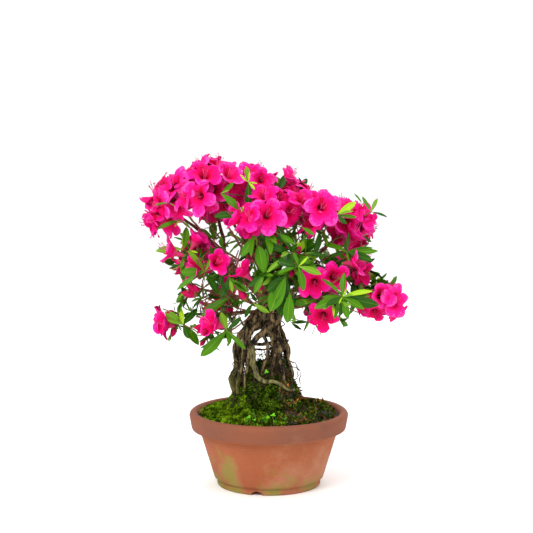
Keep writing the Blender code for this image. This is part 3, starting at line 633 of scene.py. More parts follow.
class Space:
    """The crown's shared space: one cell for each mass, and the limbs to keep off."""

    def __init__(self):
        self.names = [limb.name for limb in CROWN]
        centres = []
        segments = []
        for name in self.names:
            line, radii = lines[name]
            outward = (line[-1] - HEART).normalized()
            centres.append(line[-1] + outward * (HUB_REACH + BLOOM_SHOOT[0]))
            segments += [(*line[i], *line[i + 1], radii[i]) for i in range(len(line) - 1)]
        for (low, wide), (high, _) in zip(HEAD, HEAD[1:]):
            segments.append((*trunk_axis(low), *trunk_axis(high), wide))
        self.centres = np.array(centres)
        segments = np.array(segments)
        self.starts = segments[:, 0:3]
        self.spans = segments[:, 3:6] - segments[:, 0:3]
        self.radii = segments[:, 6]

    def holds(self, name, points, cell_margin=CELL_MARGIN, limb_margin=LIMB_MARGIN):
        """True where every point is inside this mass's cell and clear of the limbs."""
        points = np.array(points)
        own = self.centres[self.names.index(name)]
        others = self.centres[[other != name for other in self.names]]
        across = others - own
        across /= np.linalg.norm(across, axis=1)[:, None]
        limits = ((own + others) * across).sum(axis=1) / 2 - cell_margin
        if (points @ across.T > limits).any():
            return False
        offsets = points[:, None] - self.starts
        shares = (offsets * self.spans).sum(axis=2) / (self.spans ** 2).sum(axis=1)
        nearest = self.spans * shares.clip(0, 1)[..., None]
        distances = np.linalg.norm(offsets - nearest, axis=2)
        return bool((distances >= self.radii + limb_margin).all())


def are_apart(points, taken, margin):
    return all((point - other).length > margin for point in points for other in taken)


space = Space()
print(f"{len(space.starts)} stretches of limb to keep off")

# %% [markdown]
# ## Growing the masses
# The first pass is the solids' own: each try walks round a sunflower's spiral, and becomes a
# flowering shoot or a leafy one. The second pass tries again, closer together, between what
# stands already, which gives the crown its closed dome of blossom over a leafy inside.

# %% The first pass
TRIES = 90
FIRST_TRY = 0.2
OPEN_BLOOM = (0.0180, 0.0130)
FUNNEL_BLOOM = (0.0145, 0.0200)
BLOOM_SPACING = 0.0295
BLOOM_NOD = 0.25
BLOOM_OUTWARD = 0.4
SPRAY_SPACING = 0.0160
LEAST_SPRAY_TILT = 0.45
MASS_SEED = 914


def facing_of(root, end, outward, rng):
    """Where a flower looks: along its shoot, turned a little outward, nodding a little."""
    lead = ((end - root).normalized() + outward * BLOOM_OUTWARD).normalized()
    return tilted(lead, BLOOM_NOD * rng.random(), rng.uniform(0, math.tau))


def bloom_at(root, end, outward, blooming, name, rng, spacing, margins=()):
    """A shoot that ends in an open bloom, or in a narrower one where that doesn't fit."""
    facing = facing_of(root, end, outward, rng)
    turn = rng.uniform(0, math.tau)
    for size in (OPEN_BLOOM, FUNNEL_BLOOM):
        shoot = Shoot(root, end, Bloom(facing, turn, *size))
        others = [bloom_middle(other) for other in blooming]
        if are_apart([bloom_middle(shoot)], others, spacing) \
                and space.holds(name, shoot_points(shoot), *margins):
            return shoot
    return None


def first_pass(limb, rng):
    """The stem, the flowering shoots and the leafy shoots of one mass, as the solids have them."""
    line = lines[limb.name][0]
    outward = (line[-1] - HEART).normalized()
    lead = (line[-1] - line[-2]).normalized()
    start = line[-1] + lead * GAP
    stem = Shoot(start, start + lead * STEM_LENGTH, None)
    hub = stem.start.lerp(stem.end, HUB_REACH / STEM_LENGTH)
    blooming = []
    bare = []
    first_turn = rng.uniform(0, math.tau)
    low, high = STEM_JOINTS
    for index in range(TRIES):
        tilt = SPREAD * math.sqrt((index + FIRST_TRY) / TRIES)
        direction = tilted(outward, tilt, first_turn + index * GOLDEN_TURN)
        reach = rng.random()
        order = (1 + len(blooming) + len(bare)) / (limb.blooms + limb.sprays + 1)
        root = stem.start.lerp(stem.end, high + (low - high) * order)
        shoot = None
        if len(blooming) < limb.blooms:
            length = BLOOM_SHOOT[0] + (BLOOM_SHOOT[1] - BLOOM_SHOOT[0]) * reach
            shoot = bloom_at(root, hub + direction * length, outward, blooming, limb.name, rng,
                             BLOOM_SPACING)
        if shoot:
            blooming.append(shoot)
        elif len(bare) < limb.sprays and tilt > LEAST_SPRAY_TILT:
            length = SPRAY_SHOOT[0] + (SPRAY_SHOOT[1] - SPRAY_SHOOT[0]) * reach
            shoot = Shoot(root, hub + direction * length, None)
            flowers = [bloom_middle(other) for other in blooming]
            tips = [other.end for other in bare]
            if are_apart([shoot.end], flowers + tips, SPRAY_SPACING) \
                    and space.holds(limb.name, shoot_points(shoot)):
                bare.append(shoot)
    return stem, blooming, bare


# %% The second, finer pass
FINE_TRIES = 150
FINE_BLOOM_SHARE = 0.9             # more flowers, as a share of the mass's own
FINE_BLOOM_SPACING = 0.0185
FINE_TWIGS = 3                     # more leafy twigs, beside those of the first pass
FINE_TWIG_SPACING = 0.0105
FINE_SHOOT = (0.006, 0.024)
FINE_MARGINS = (-0.0030, 0.0012)   # how far petals lean into the next space, and keep off wood
FINE_SEED = 1014


def second_pass(limb, stem, blooming, bare, opened, rng):
    """More flowering and leafy shoots of a mass. opened holds every flower's middle so far."""
    outward = (stem.start - HEART).normalized()
    hub = stem.start.lerp(stem.end, HUB_REACH / STEM_LENGTH)
    more_blooming = []
    more_bare = []
    wanted = round(limb.blooms * FINE_BLOOM_SHARE) if limb.blooms > 3 else 0
    first_turn = rng.uniform(0, math.tau)
    for index in range(FINE_TRIES):
        tilt = SPREAD * math.sqrt((index + 0.5) / FINE_TRIES)
        direction = tilted(outward, tilt, first_turn + index * GOLDEN_TURN)
        root = stem.start.lerp(stem.end, rng.uniform(*STEM_JOINTS))
        end = hub + direction * rng.uniform(*FINE_SHOOT)
        size = OPEN_BLOOM if rng.random() < 0.6 else FUNNEL_BLOOM
        bloom = Bloom(facing_of(root, end, outward, rng), rng.uniform(0, math.tau), *size)
        shoot = Shoot(root, end, bloom)
        if len(more_blooming) < wanted \
                and are_apart([bloom_middle(shoot)], opened, FINE_BLOOM_SPACING) \
                and space.holds(limb.name, shoot_points(shoot), *FINE_MARGINS):
            more_blooming.append(shoot)
            opened.append(bloom_middle(shoot))
            continue
        shoot = Shoot(root, end, None)
        tips = [other.end for other in bare + more_bare]
        if len(more_bare) < limb.sprays + FINE_TWIGS \
                and are_apart([end], tips, FINE_TWIG_SPACING) \
                and space.holds(limb.name, shoot_points(shoot), *FINE_MARGINS):
            more_bare.append(shoot)
    return more_blooming, more_bare


SET_BACK = 7.5 * MM                # a full flower starts this much lower on its shoot
DRAWN_IN = {                       # and these masses hold theirs this much closer, in mm
    "left_tip": 9, "middle_crest": 8, "right_shoulder": 8, "right_side": 5, "right_tip": 8,
    "back_left": 12, "back_right": 9, "back_right_crest": 8, "back_low_left": 8,
    "back_left_crest": 3, "left_side": 4,
}


def set_back(limb, shoot):
    """The shoot made shorter, so that a full flower on it keeps within the mass's reach."""
    axis = (shoot.end - shoot.start).normalized()
    inward = (HEART - shoot.end).normalized() * DRAWN_IN.get(limb.name, 0) * MM
    return shoot._replace(end=shoot.end - axis * SET_BACK + inward)


stems, flowering, leafy = [], [], []
for index, limb in enumerate(CROWN):
    stem, blooming, bare = first_pass(limb, random.Random(MASS_SEED + index))
    stems.append(stem)
    flowering += [(limb, shoot) for shoot in blooming]
    leafy += [(limb, shoot) for shoot in bare]
solid_count = len(flowering), len(leafy)
opened = [bloom_middle(shoot) for _, shoot in flowering]
for index, (limb, stem) in enumerate(zip(CROWN, stems)):
    blooming = [shoot for owner, shoot in flowering if owner is limb]
    bare = [shoot for owner, shoot in leafy if owner is limb]
    more = second_pass(limb, stem, blooming, bare, opened, random.Random(FINE_SEED + index))
    flowering += [(limb, shoot) for shoot in more[0]]
    leafy += [(limb, shoot) for shoot in more[1]]
flowering = [(limb, set_back(limb, shoot)) for limb, shoot in flowering]
print(f"first pass {solid_count}, both {len(flowering)} flowers and {len(leafy)} leafy twigs")

# %% [markdown]
# ## Places seen from the front
# What shows most is easiest to place from where one looks: so many pixels across and down the
# front view, and so far behind the middle of the pot. The line from the eye through that pixel
# meets the upright plane at that depth in one point, and that is the place in mm. Twigs, leaves
# and flowers are placed to a whole mm, and the roots, which touch each other, to a tenth.

# %% Places seen from the front
VIEW_MIDDLE = 266.5                # the front view is 533 pixels across and down
VIEW_SCALE = 1403.5                # pixels that a slope of one spans
VIEW_DIP = math.radians(6.37)      # how far the eye looks down
POT_COLUMN = 268.8                 # the pixel column that the middle of the pot stands in
POT_AWAY = 1600                    # mm, as are the eye's place and every depth
EYE_BACK, EYE_HEIGHT = 1564, 422
GAP_SCALE = 1.14                   # mm to a pixel, in the plane of the trunk


def seen(across, down, depth, *notes, right=0, up=0, digits=None):
    """Place in mm of a pixel of the front view, at a depth, and what is noted of it.

    right and up are mm that the piece stands off that line of sight, fitted to its neighbours.
    """
    slope = (VIEW_MIDDLE - down) / VIEW_SCALE
    ahead = math.cos(VIEW_DIP) + slope * math.sin(VIEW_DIP)
    rise = slope * math.cos(VIEW_DIP) - math.sin(VIEW_DIP)
    away = (depth + EYE_BACK) / ahead
    eye = (VIEW_MIDDLE - POT_COLUMN) * POT_AWAY / VIEW_SCALE
    x = eye + (across - VIEW_MIDDLE) / VIEW_SCALE * away + right
    return (round(x, digits), depth, round(EYE_HEIGHT + rise * away + up, digits), *notes)


def seen_finely(across, down, depth, *notes, right=0, up=0):
    return seen(across, down, depth, *notes, right=right, up=up, digits=1)


def gap(across, down, radius=0, narrowed=None):
    """x, z and radius in mm of an opening. Leaves that close in may leave it narrowed, in mm."""
    x, _, z = seen(across, down, 0)
    return x, z, narrowed or round(radius * GAP_SCALE, 1)


print(f"the middle of the view lies at {seen(VIEW_MIDDLE, VIEW_MIDDLE, 0)} mm")

# %% [markdown]
# ## The front of the crown
# A bonsai is trained to be seen from one side. Its grower thins the front by hand, turns the
# best flowers outward and keeps a few bold leaf whorls between them. Those chosen flowers and
# whorls are listed here, each with the limb that bears it, and each stands on a twig of its own
# from that limb's stem. A grown flower that would crowd a chosen one gives way to it.

# %% The chosen flowers and whorls
FrontBloom = namedtuple("FrontBloom", "limb middle heading climb size form")
FRONT_BLOOMS = (                   # the flower's middle in mm, and where it looks
    FrontBloom("left_tip", seen(160, 190, -26, right=-1, up=1), 205, 16, 1.00, 0),
    FrontBloom("left_tip", seen(172, 186, -36, right=-1, up=2), 218, 34, 1.00, 2),
    FrontBloom("left_tip", seen(158, 206, -34), 215, -14, 0.95, 1),
    FrontBloom("left_tip", seen(150, 222, -22), 188, -16, 1.02, 3),
    FrontBloom("left_tip", seen(176, 211, -36), 250, -40, 0.80, 0),
    FrontBloom("left_crest", seen(186, 176, -30, right=-2, up=1), 204, 50, 1.00, 2),
    FrontBloom("left_crest", seen(197, 197, -72), 244, -2, 0.98, 1),
    FrontBloom("left_crest", seen(206, 173, -60, right=-1, up=1), 284, 46, 1.00, 0),
    FrontBloom("left_crest", seen(205, 209, -44), 262, -46, 0.85, 4),
    FrontBloom("left_crest", seen(184, 196, -56, right=-2), 208, 18, 0.86, 2),
    FrontBloom("left_crest", seen(233, 172, -48, right=-1, up=1), 312, 44, 0.92, 3),
    FrontBloom("left_crest", seen(236, 187, -34, up=2), 285, -16, 0.90, 4),
    FrontBloom("middle_crest", seen(262, 180, -32), 278, 12, 0.70, 0),
    FrontBloom("middle_crest", seen(250, 172, -8), 262, 46, 0.78, 2),
    FrontBloom("left_crest", seen(222, 212, -26), 250, -24, 0.90, 4),
    FrontBloom("front_face", seen(267, 214, -88, up=-1), 274, 12, 0.96, 0),
    FrontBloom("front_face", seen(248, 220, -76, up=-2), 224, -2, 0.88, 2),
    FrontBloom("front_face", seen(246, 236, -64), 240, -46, 0.75, 4),
    FrontBloom("front_face", seen(264, 194, -64), 262, 50, 0.78, 2),
    FrontBloom("front_face", seen(279, 198, -62), 292, 30, 0.74, 0),
    FrontBloom("right_crest", seen(303, 200, -62, right=1, up=2), 304, 52, 0.86, 2),
    FrontBloom("right_crest", seen(291, 213, -70, right=1), 312, -4, 0.92, 1),
    FrontBloom("middle_crest", seen(294, 175, -18), 346, 42, 0.84, 5),
    FrontBloom("right_crest", seen(321, 208, -82, right=2), 282, 4, 0.96, 0),
    FrontBloom("right_crest", seen(316, 196, -54, right=2), 262, 62, 0.78, 2),
    FrontBloom("right_crest", seen(334, 202, -44, right=2), 318, 46, 0.78, 1),
    FrontBloom("right_shoulder", seen(350, 209, -30, right=2), 304, 42, 0.88, 0),
    FrontBloom("right_shoulder", seen(365, 213, -24, up=-1), 322, 22, 0.82, 2),
    FrontBloom("right_shoulder", seen(371, 226, -16, up=-1), 334, -14, 0.80, 1),
    FrontBloom("right_shoulder", seen(358, 230, -44), 338, 50, 0.84, 5),
    FrontBloom("right_shoulder", seen(345, 222, -38), 262, -8, 0.80, 3),
    FrontBloom("right_side", seen(364, 261, -60), 334, 10, 0.86, 5),
    FrontBloom("right_side", seen(366, 275, -46), 320, -22, 0.84, 3),
    FrontBloom("right_middle", seen(314, 284, -78), 262, -16, 0.86, 0),
    FrontBloom("right_middle", seen(335, 278, -62), 286, 2, 0.82, 2),
    FrontBloom("right_tip", seen(369, 304, -70), 324, -16, 0.95, 5),
    FrontBloom("right_tip", seen(384, 295, -60), 292, 14, 0.84, 3),
    FrontBloom("right_tip", seen(397, 302, -54, right=-1), 300, -2, 0.88, 2),
    FrontBloom("right_tip", seen(399, 315, -42), 320, -40, 0.74, 4),
    FrontBloom("right_tip", seen(375, 314, -52), 268, -44, 0.72, 1),
    FrontBloom("low_right", seen(321, 317, -76, right=1, up=-1), 258, -22, 0.92, 1),
    FrontBloom("left_side", seen(163, 249.5, -42), 184, 17, 0.85, 5),
    FrontBloom("left_side", seen(200, 234, -40), 350, 60, 0.76, 5),
    FrontBloom("left_middle", seen(190, 267, -64), 214, 6, 0.80, 5),
    FrontBloom("left_middle", seen(219, 262, -76, up=1), 302, 26, 0.78, 3),
    FrontBloom("left_middle", seen(239, 267, -78), 196, 46, 0.78, 5),
    FrontBloom("low_left_tip", seen(158, 324, -28), 206, 10, 0.84, 5),
    FrontBloom("low_left_near", seen(206, 322, -58), 208, 18, 0.90, 5),
)
FrontWhorl = namedtuple("FrontWhorl", "limb node leaves")
INNER_DEPTHS = (-5, 3, -8, 6, 0)     # how much deeper than its twig each inner leaf lies, in turn


def front_whorl(limb, across, down, depth, *leaves):
    """A whorl at its twig's tip. A leaf's tip is across, down and deeper, then tint and form."""
    tips = (seen(x, y, depth + deeper, *look) for x, y, deeper, *look in leaves)
    return FrontWhorl(limb, seen(across, down, depth), tuple(tips))


def inner_whorl(limb, across, down, depth, *leaves):
    """A smaller one further in. A leaf's tip is across and down, then tint and form."""
    deeper = itertools.cycle(INNER_DEPTHS)
    return front_whorl(limb, across, down, depth,
                       *((x, y, next(deeper), *look) for x, y, *look in leaves))


def front_twig(radius, *knots):
    return (radius, *(seen(*knot) for knot in knots))


FRONT_WHORLS = (
    front_whorl("right_middle", 298, 266, -94, (294, 251, 2, 0, 0), (308, 257, -2, 3, 4),
        (321.5, 273.5, -4, 2, 0), (311, 263, 4, 1, 4), (278, 272, -2, 0, 0), (275, 260, 4, 1, 1),
        (282, 253, 8, 1, 2), (304.6, 290.5, -6, 0, 2)),
    front_whorl("middle_face", 264, 275, -88, (259, 245.7, 2, 0, 2), (265, 248.4, 4, 0, 0),
        (281.6, 258.7, -2, 2, 4), (272.5, 275.5, -8, 0, 0), (253.7, 292.8, -6, 0, 0),
        (248, 286, 0, 1, 0)),
    front_whorl("low_face", 286, 276, -86, (270, 311, -6, 0, 2), (281, 316, -2, 1, 2),
        (267, 291, -4, 1, 2), (276, 300, -8, 0, 0)),
    front_whorl("low_face", 290, 293, -88, (287.4, 323.5, -2, 0, 2), (283, 312, 4, 1, 0)),
    front_whorl("low_face", 253, 303, -66, (269.4, 312.5, -4, 2, 0), (244, 318, 2, 1, 2),
        (262, 300, 2, 0, 4)),
    front_whorl("left_middle", 248, 291, -72, (233, 279.5, 0, 1, 0), (241, 284, -4, 0, 0)),
    front_whorl("left_middle", 230, 278, -72, (232.3, 292.5, -2, 2, 0), (221.5, 297, 0, 1, 2),
        (248, 292.6, 2, 0, 0)),
    front_whorl("low_right", 342.5, 297, -88, (343.3, 272.5, 4, 0, 0), (323.5, 276.5, 4, 0, 4),
        (322, 296, 2, 0, 4), (314.5, 307.5, -4, 0, 0), (326.5, 305, -6, 1, 0),
        (372.5, 288.5, 4, 3, 4), (370.5, 293, 4, 0, 4), (364, 308, -4, 0, 0), (379, 306, 0, 1, 0),
        (348.5, 319.5, -2, 0, 0), (340.5, 319, 2, 1, 4), (332.5, 319, 4, 0, 4),
        (347, 290, -4, 3, 4), (339, 303, -6, 3, 4), (352, 295, -6, 2, 4)),
    front_whorl("low_right", 309, 322.5, -70, (293.5, 321.5, 2, 1, 0), (306, 329, 0, 2, 4)),
    front_whorl("low_right", 311, 299, -60, (313, 311, 0, 2, 0), (303, 313, 2, 1, 4)),
    front_whorl("low_right", 324, 326, -64, (319, 335, 0, 2, 4), (327, 333, 0, 1, 4)),
    front_whorl("right_side", 347, 252, -60, (324, 242.5, 4, 0, 0), (326.5, 256.5, 6, 1, 4),
        (348.5, 261, -2, 0, 1), (373, 247.5, 0, 0, 4), (377.5, 251.5, -4, 0, 4),
        (372, 259.5, -6, 1, 0), (342, 241, 0, 1, 4), (349, 232, 4, 1, 4)),
    front_whorl("right_side", 362, 236, -40, (372, 242, 0, 1, 0), (368, 234, 0, 0, 4)),
    front_whorl("right_crest", 337, 215, -76, (355.5, 202, -4, 3, 0), (352, 210, -6, 2, 4),
        (357, 216.5, -2, 0, 4), (346.5, 224, -4, 1, 2), (338.5, 207, 2, 0, 1)),
    front_whorl("right_shoulder", 371, 212, -46, (377, 198, 0, 2, 0), (387.5, 215.5, 0, 1, 4),
        (362, 196, 6, 0, 4)),
    front_whorl("right_shoulder", 362, 204, -18, (355.5, 193, 0, 0, 4)),
    front_whorl("middle_crest", 248, 182, -62, (246.8, 166.5, 0, 2, 2), (249.5, 171.8, -4, 3, 4),
        (240, 175, 0, 3, 4), (254.5, 189, -4, 3, 0), (258, 183, 2, 3, 4),
        (248.2, 208.6, -4, 1, 0)),
    front_whorl("middle_crest", 221, 193, -76, (240, 208.8, -6, 0, 2), (234, 183, 2, 0, 0),
        (229, 190, 0, 2, 4)),
    front_whorl("front_face", 240.5, 215, -84, (214, 215.5, 0, 1, 2), (243, 206, 0, 3, 4)),
    front_whorl("front_face", 256, 235, -80, (240.5, 257, -4, 0, 0), (257.5, 246, 0, 2, 4),
        (268, 241, 4, 1, 0)),
    front_whorl("front_face", 277, 233, -78, (294, 244, -4, 0, 0), (281, 243, 0, 1, 0)),
    front_whorl("right_crest", 302, 227, -80, (314, 234.5, -4, 0, 0)),
    front_whorl("right_crest", 300, 241, -72, (316, 240, 0, 0, 4), (297, 247, -4, 3, 4),
        (291, 246, 0, 2, 4), (309, 233, 0, 1, 4)),
    front_whorl("right_crest", 311, 247, -62, (320, 240, 0, 0, 4), (305, 255, 0, 1, 4),
        (316, 256, 0, 2, 4)),
    front_whorl("middle_crest", 279, 190, -22, (286, 174, 0, 1, 2), (274, 180, 0, 0, 2),
        (271, 192, 0, 1, 0)),
    front_whorl("left_side", 184, 249, -42, (156, 250, -4, 2, 0), (187.7, 227.7, 2, 0, 0),
        (182, 237.5, 0, 2, 4), (183, 260.5, 0, 1, 0), (189, 262, 2, 1, 0)),
    front_whorl("left_side", 182.5, 263.5, -36, (169.5, 268.7, -2, 1, 4), (177, 260, -4, 2, 4)),
    front_whorl("left_middle", 205, 272, -66, (189.8, 250.5, -6, 2, 0), (212.3, 255.8, -4, 2, 4),
        (176, 287.4, -6, 0, 4), (180.5, 272, 4, 0, 2), (200, 259, 4, 0, 4), (220, 294, -2, 1, 0)),
    front_whorl("left_side", 200, 258, -30, (201.5, 246, 0, 0, 4), (207, 250, 2, 1, 0)),
    front_whorl("left_side", 214, 240, -20, (206, 244.5, 0, 2, 0), (206, 250, 2, 1, 4),
        (214, 222, 4, 0, 2), (220, 231, 0, 0, 4), (201, 227.5, 0, 0, 0), (221, 236, 2, 2, 2)),
    front_whorl("left_tip", 180, 220, -30, (192, 228, 0, 2, 4), (156.5, 227.5, -4, 0, 4),
        (174, 226, 0, 3, 4)),
    front_whorl("left_tip", 169, 203, -46, (154, 203.5, -2, 0, 4), (176, 206, 0, 2, 4)),
    front_whorl("low_left_bud", 203, 297, -30, (203, 283, 0, 1, 4), (208, 289, 0, 1, 4),
        (192, 308, 0, 1, 4), (191, 301, 0, 0, 4)),
    front_whorl("low_left_bud", 230, 297, -40, (200.4, 314.7, -4, 0, 0), (222, 300, 2, 1, 4),
        (234, 303, 0, 0, 4)),
    front_whorl("low_left_tip", 183.5, 324.5, -24, (165, 311.6, -2, 2, 2),
        (180.7, 307.4, 0, 3, 0), (197.5, 308.4, 2, 1, 0), (188.4, 339, -4, 1, 2),
        (199.6, 344.6, 0, 0, 2), (166, 319.3, -8, 2, 4)),
    front_whorl("low_left_near", 227, 330, -50, (220.7, 313, -4, 2, 2), (241, 317.2, 0, 1, 0),
        (230.5, 343.5, 0, 0, 2), (201, 357, -4, 0, 0), (246, 350, -2, 0, 4)),
    inner_whorl("left_middle", 243, 240, -30, (240, 257, 0, 4), (228, 233, 2, 4),
        (232, 249, 0, 4), (250, 228, 1, 4), (226, 243, 0, 4)),
    inner_whorl("left_middle", 228, 256, -24, (221, 245, 0, 4), (237, 263, 1, 4),
        (219, 262, 0, 4), (234, 247, 2, 4)),
    inner_whorl("middle_face", 253, 262, -40, (248, 273, 1, 0), (257, 276, 0, 4),
        (246, 264, 1, 4)),
    inner_whorl("low_face", 250, 292, -36, (245, 303, 0, 0), (257, 302, 1, 0), (241, 296, 0, 4),
        (239, 307, 0, 4)),
    inner_whorl("front_face", 296, 226, -40, (286, 233, 2, 4), (300, 238, 0, 4), (306, 229, 2, 4),
        (291, 241, 0, 4)),
    inner_whorl("right_middle", 326, 238, -30, (322, 228, 0, 4), (331, 247, 0, 4),
        (318, 243, 2, 4), (332, 231, 1, 4)),
    inner_whorl("left_middle", 203, 288, -40, (194, 282, 0, 4), (209, 298, 0, 4),
        (197, 296, 1, 4), (211, 282, 2, 4)),
    inner_whorl("right_middle", 321, 262, -34, (316, 268, 0, 4), (327, 265, 0, 4),
        (313, 259, 2, 4)),
)
FRONT_TWIGS = (                    # bare wood that shows in the front: radius in mm, course
    front_twig(1.2, (182, 209, -32), (196, 224, -26), (209, 238, -20), (224, 250, -14),
               (238, 260, -6)),
    front_twig(0.8, (179, 219, -28), (193, 230, -22), (207, 241, -16), (224, 251, -10)),
    front_twig(0.8, (200, 212, -40), (207, 221, -34), (215, 232, -26), (228, 247, -14)),
    front_twig(1.2, (223, 215, -52), (231, 231, -44), (242, 249, -34), (252, 264, -20)),
    front_twig(1.0, (268, 230, -58), (273, 238, -66), (284, 251, -80), (296, 264.5, -93)),
    front_twig(1.2, (327, 224, -52), (320, 242, -46), (312, 258, -40), (303, 273, -28)),
    front_twig(0.8, (346, 251, -59), (334, 254, -52), (322, 260, -44), (308, 269, -30)),
    front_twig(0.7, (345, 234, -46), (333, 241, -42), (320, 250, -36), (300, 262, -20)),
    front_twig(0.8, (345, 258, -52), (330, 264, -44), (312, 274, -30), (296, 284, -14)),
    front_twig(0.7, (342, 300, -84), (349, 308, -76), (357, 311.5, -68), (366, 312.5, -60)),
    front_twig(1.6, (283, 300, -20), (296, 296.5, -40), (308, 297, -56), (320, 299, -68),
               (332, 300.5, -78), (341, 298, -86)),
    front_twig(1.0, (252, 317, -18), (241, 324, -30), (233, 329, -42), (227, 330, -49)),
    front_twig(0.7, (243, 330, -36), (236, 333, -44), (229, 332, -49)),
    front_twig(0.7, (231, 333, -48), (216, 333.5, -40), (203, 333, -32), (191, 329, -26),
               (184, 325, -24)),
    front_twig(0.9, (246, 311, -18), (239.6, 308.4, -24), (226, 305, -28), (216, 302, -30),
               (205, 298, -30)),
    front_twig(0.8, (204, 298, -30), (203, 290, -32), (203, 281, -40), (205, 273, -60)),
)
SEE_THROUGH = (                    # where one sees through the crown from the front
    gap(234, 248, narrowed=3.8), gap(232, 238, 2.5), gap(203, 246, 4), gap(199, 223, 4.5),
    gap(190, 234, 3), gap(333, 239, narrowed=3.6), gap(341, 239, narrowed=2.6),
    gap(341, 252, narrowed=3.0), gap(332, 255, narrowed=3.2), gap(325, 262, narrowed=1.4),
    gap(317, 249, narrowed=1.8), gap(353, 272, 2), gap(237, 291, 3), gap(252, 289, 3),
    gap(265, 290, 3), gap(207, 281, 1.5), gap(213, 301, 3), gap(195, 320, 5), gap(241, 300, 2),
    gap(210, 290, 4), gap(192, 303, 5), gap(180, 245, 4), gap(178, 260, 4), gap(300, 312, 8),
    gap(172, 282, 8), gap(165, 297, 10), gap(230, 311, 3.5), gap(287, 248, 1.2),
)
BARE_NECK = (0.024, 0.206)         # half the width and the top of the view to the bare neck
FRONT_CROWDED = 0.0155             # a grown flower is dropped when this near to a chosen one
THINNED_FRONT, THINNED_TOP = -0.020, 0.300
OPEN_DEPTH = 0.0195
OPEN_GAP = 0.004                   # a grown flower keeps this far from a gap
FUNNEL_DEPTH = 0.0255
TRUMPET_DEPTH = 0.0290
FUNNEL_FORMS = (3, 4, 5)
TRUMPET_FORM = 5


def heading_out(heading, climb):
    level = math.cos(math.radians(climb))
    flat = polar(heading, level, 0)
    return Vector((flat.x, flat.y, math.sin(math.radians(climb))))


def is_thinned(middle):
    """True in the lower front of the crown, where only the chosen flowers were left."""
    return middle.y < THINNED_FRONT and middle.z < THINNED_TOP


def twig_from_stem(name, end):
    """Where on the limb's stem a twig to this end starts."""
    stem = stems[[limb.name for limb in CROWN].index(name)]
    along = stem.end - stem.start
    share = (end - stem.start).dot(along) / along.length_squared
    low, high = STEM_JOINTS
    return stem.start.lerp(stem.end, min(high, max(low, share)))


def seen_at(point):
    """Where the front view has a point, as x and z in the plane of the trunk."""
    share = CAMERA_PLACE[1] / (CAMERA_PLACE[1] - point[1])
    return (CAMERA_PLACE[0] + (point[0] - CAMERA_PLACE[0]) * share,
            CAMERA_PLACE[2] + (point[2] - CAMERA_PLACE[2]) * share)


def is_kept_open(point, margin=0.0):
    """True for a point in one of the gaps of the crown, or before the bare neck."""
    x, z = seen_at(point)
    if abs(x - TRUNK_LEAN) < BARE_NECK[0] and z < BARE_NECK[1]:
        return True
    return any(math.hypot(x - gap_x * MM, z - gap_z * MM) < radius * MM + margin
               for gap_x, gap_z, radius in SEE_THROUGH)


chosen = []
for bloom in FRONT_BLOOMS:
    facing = heading_out(bloom.heading, bloom.climb)
    funnel = bloom.form in FUNNEL_FORMS
    radius = (FUNNEL_BLOOM if funnel else OPEN_BLOOM)[0]
    depth = (FUNNEL_DEPTH if funnel else OPEN_DEPTH) * bloom.size
    if bloom.form == TRUMPET_FORM:
        depth = TRUMPET_DEPTH * bloom.size
    end = Vector(bloom.middle) * MM - facing * depth
    limb = next(limb for limb in CROWN if limb.name == bloom.limb)
    head = Bloom(facing, 0.7 * len(chosen), radius, depth, bloom.form, bloom.size)
    chosen.append((limb, Shoot(twig_from_stem(bloom.limb, end), end, head)))
chosen_middles = [bloom_middle(shoot) for _, shoot in chosen]
grown_count = len(flowering)
flowering = [(limb, shoot) for limb, shoot in flowering
             if are_apart([bloom_middle(shoot)], chosen_middles, FRONT_CROWDED)
             and not is_thinned(bloom_middle(shoot))
             and not is_kept_open(bloom_middle(shoot), OPEN_GAP)]
print(f"{len(chosen)} chosen flowers take the place of {grown_count - len(flowering)} grown ones")
flowering += chosen
whorl_shoots = []
for front in FRONT_WHORLS:
    end = Vector(front.node) * MM
    whorl_shoots.append((front, Shoot(twig_from_stem(front.limb, end), end, None)))

# %% [markdown]
# ## Twigs
# Every shoot is a thin twig that springs from its mass's stem with a slight bend. The stems
# carry on from the boughs, so the wood reads as one from the trunk to the flowers.

# %% Twigs and boughs
TWIG_SEED = 2014
TWIG_BEND = 1.6 * MM
TWIG_STEPS = 5
TWIG_RADII = (0.95 * MM, 0.65 * MM)
STEM_RADII = (1.6 * MM, 1.1 * MM)
BOUGH_BEND = 0.5 * MM
INNER_TWIGS = 130                  # short twigs on the bare boughs, in the shade of the crown
INNER_START = (0.35, 1.0)
INNER_REACH = (0.012, 0.030)
BOUGH_REFINED = 5                  # points along a bough for each one of its solid's


def tapered(first, last, count):
    return [first + (last - first) * step / (count - 1) for step in range(count)]


def twig_line(shoot, rng):
    middle = shoot.start.lerp(shoot.end, 0.55)
    middle += Vector([rng.uniform(-1, 1) for _ in range(3)]) * TWIG_BEND
    return smooth_line([shoot.start, middle, shoot.end], TWIG_STEPS)


def refined(line, radii, rng):
    """A limb's own line with more points, each strayed a little, and its radii to match."""
    fine = smooth_line(line, (len(line) - 1) * BOUGH_REFINED)
    fine = wander(fine, BOUGH_BEND, rng)
    wide = [radii[0] + (radii[-1] - radii[0]) * step / (len(fine) - 1)
            for step in range(len(fine))]
    return fine, wide


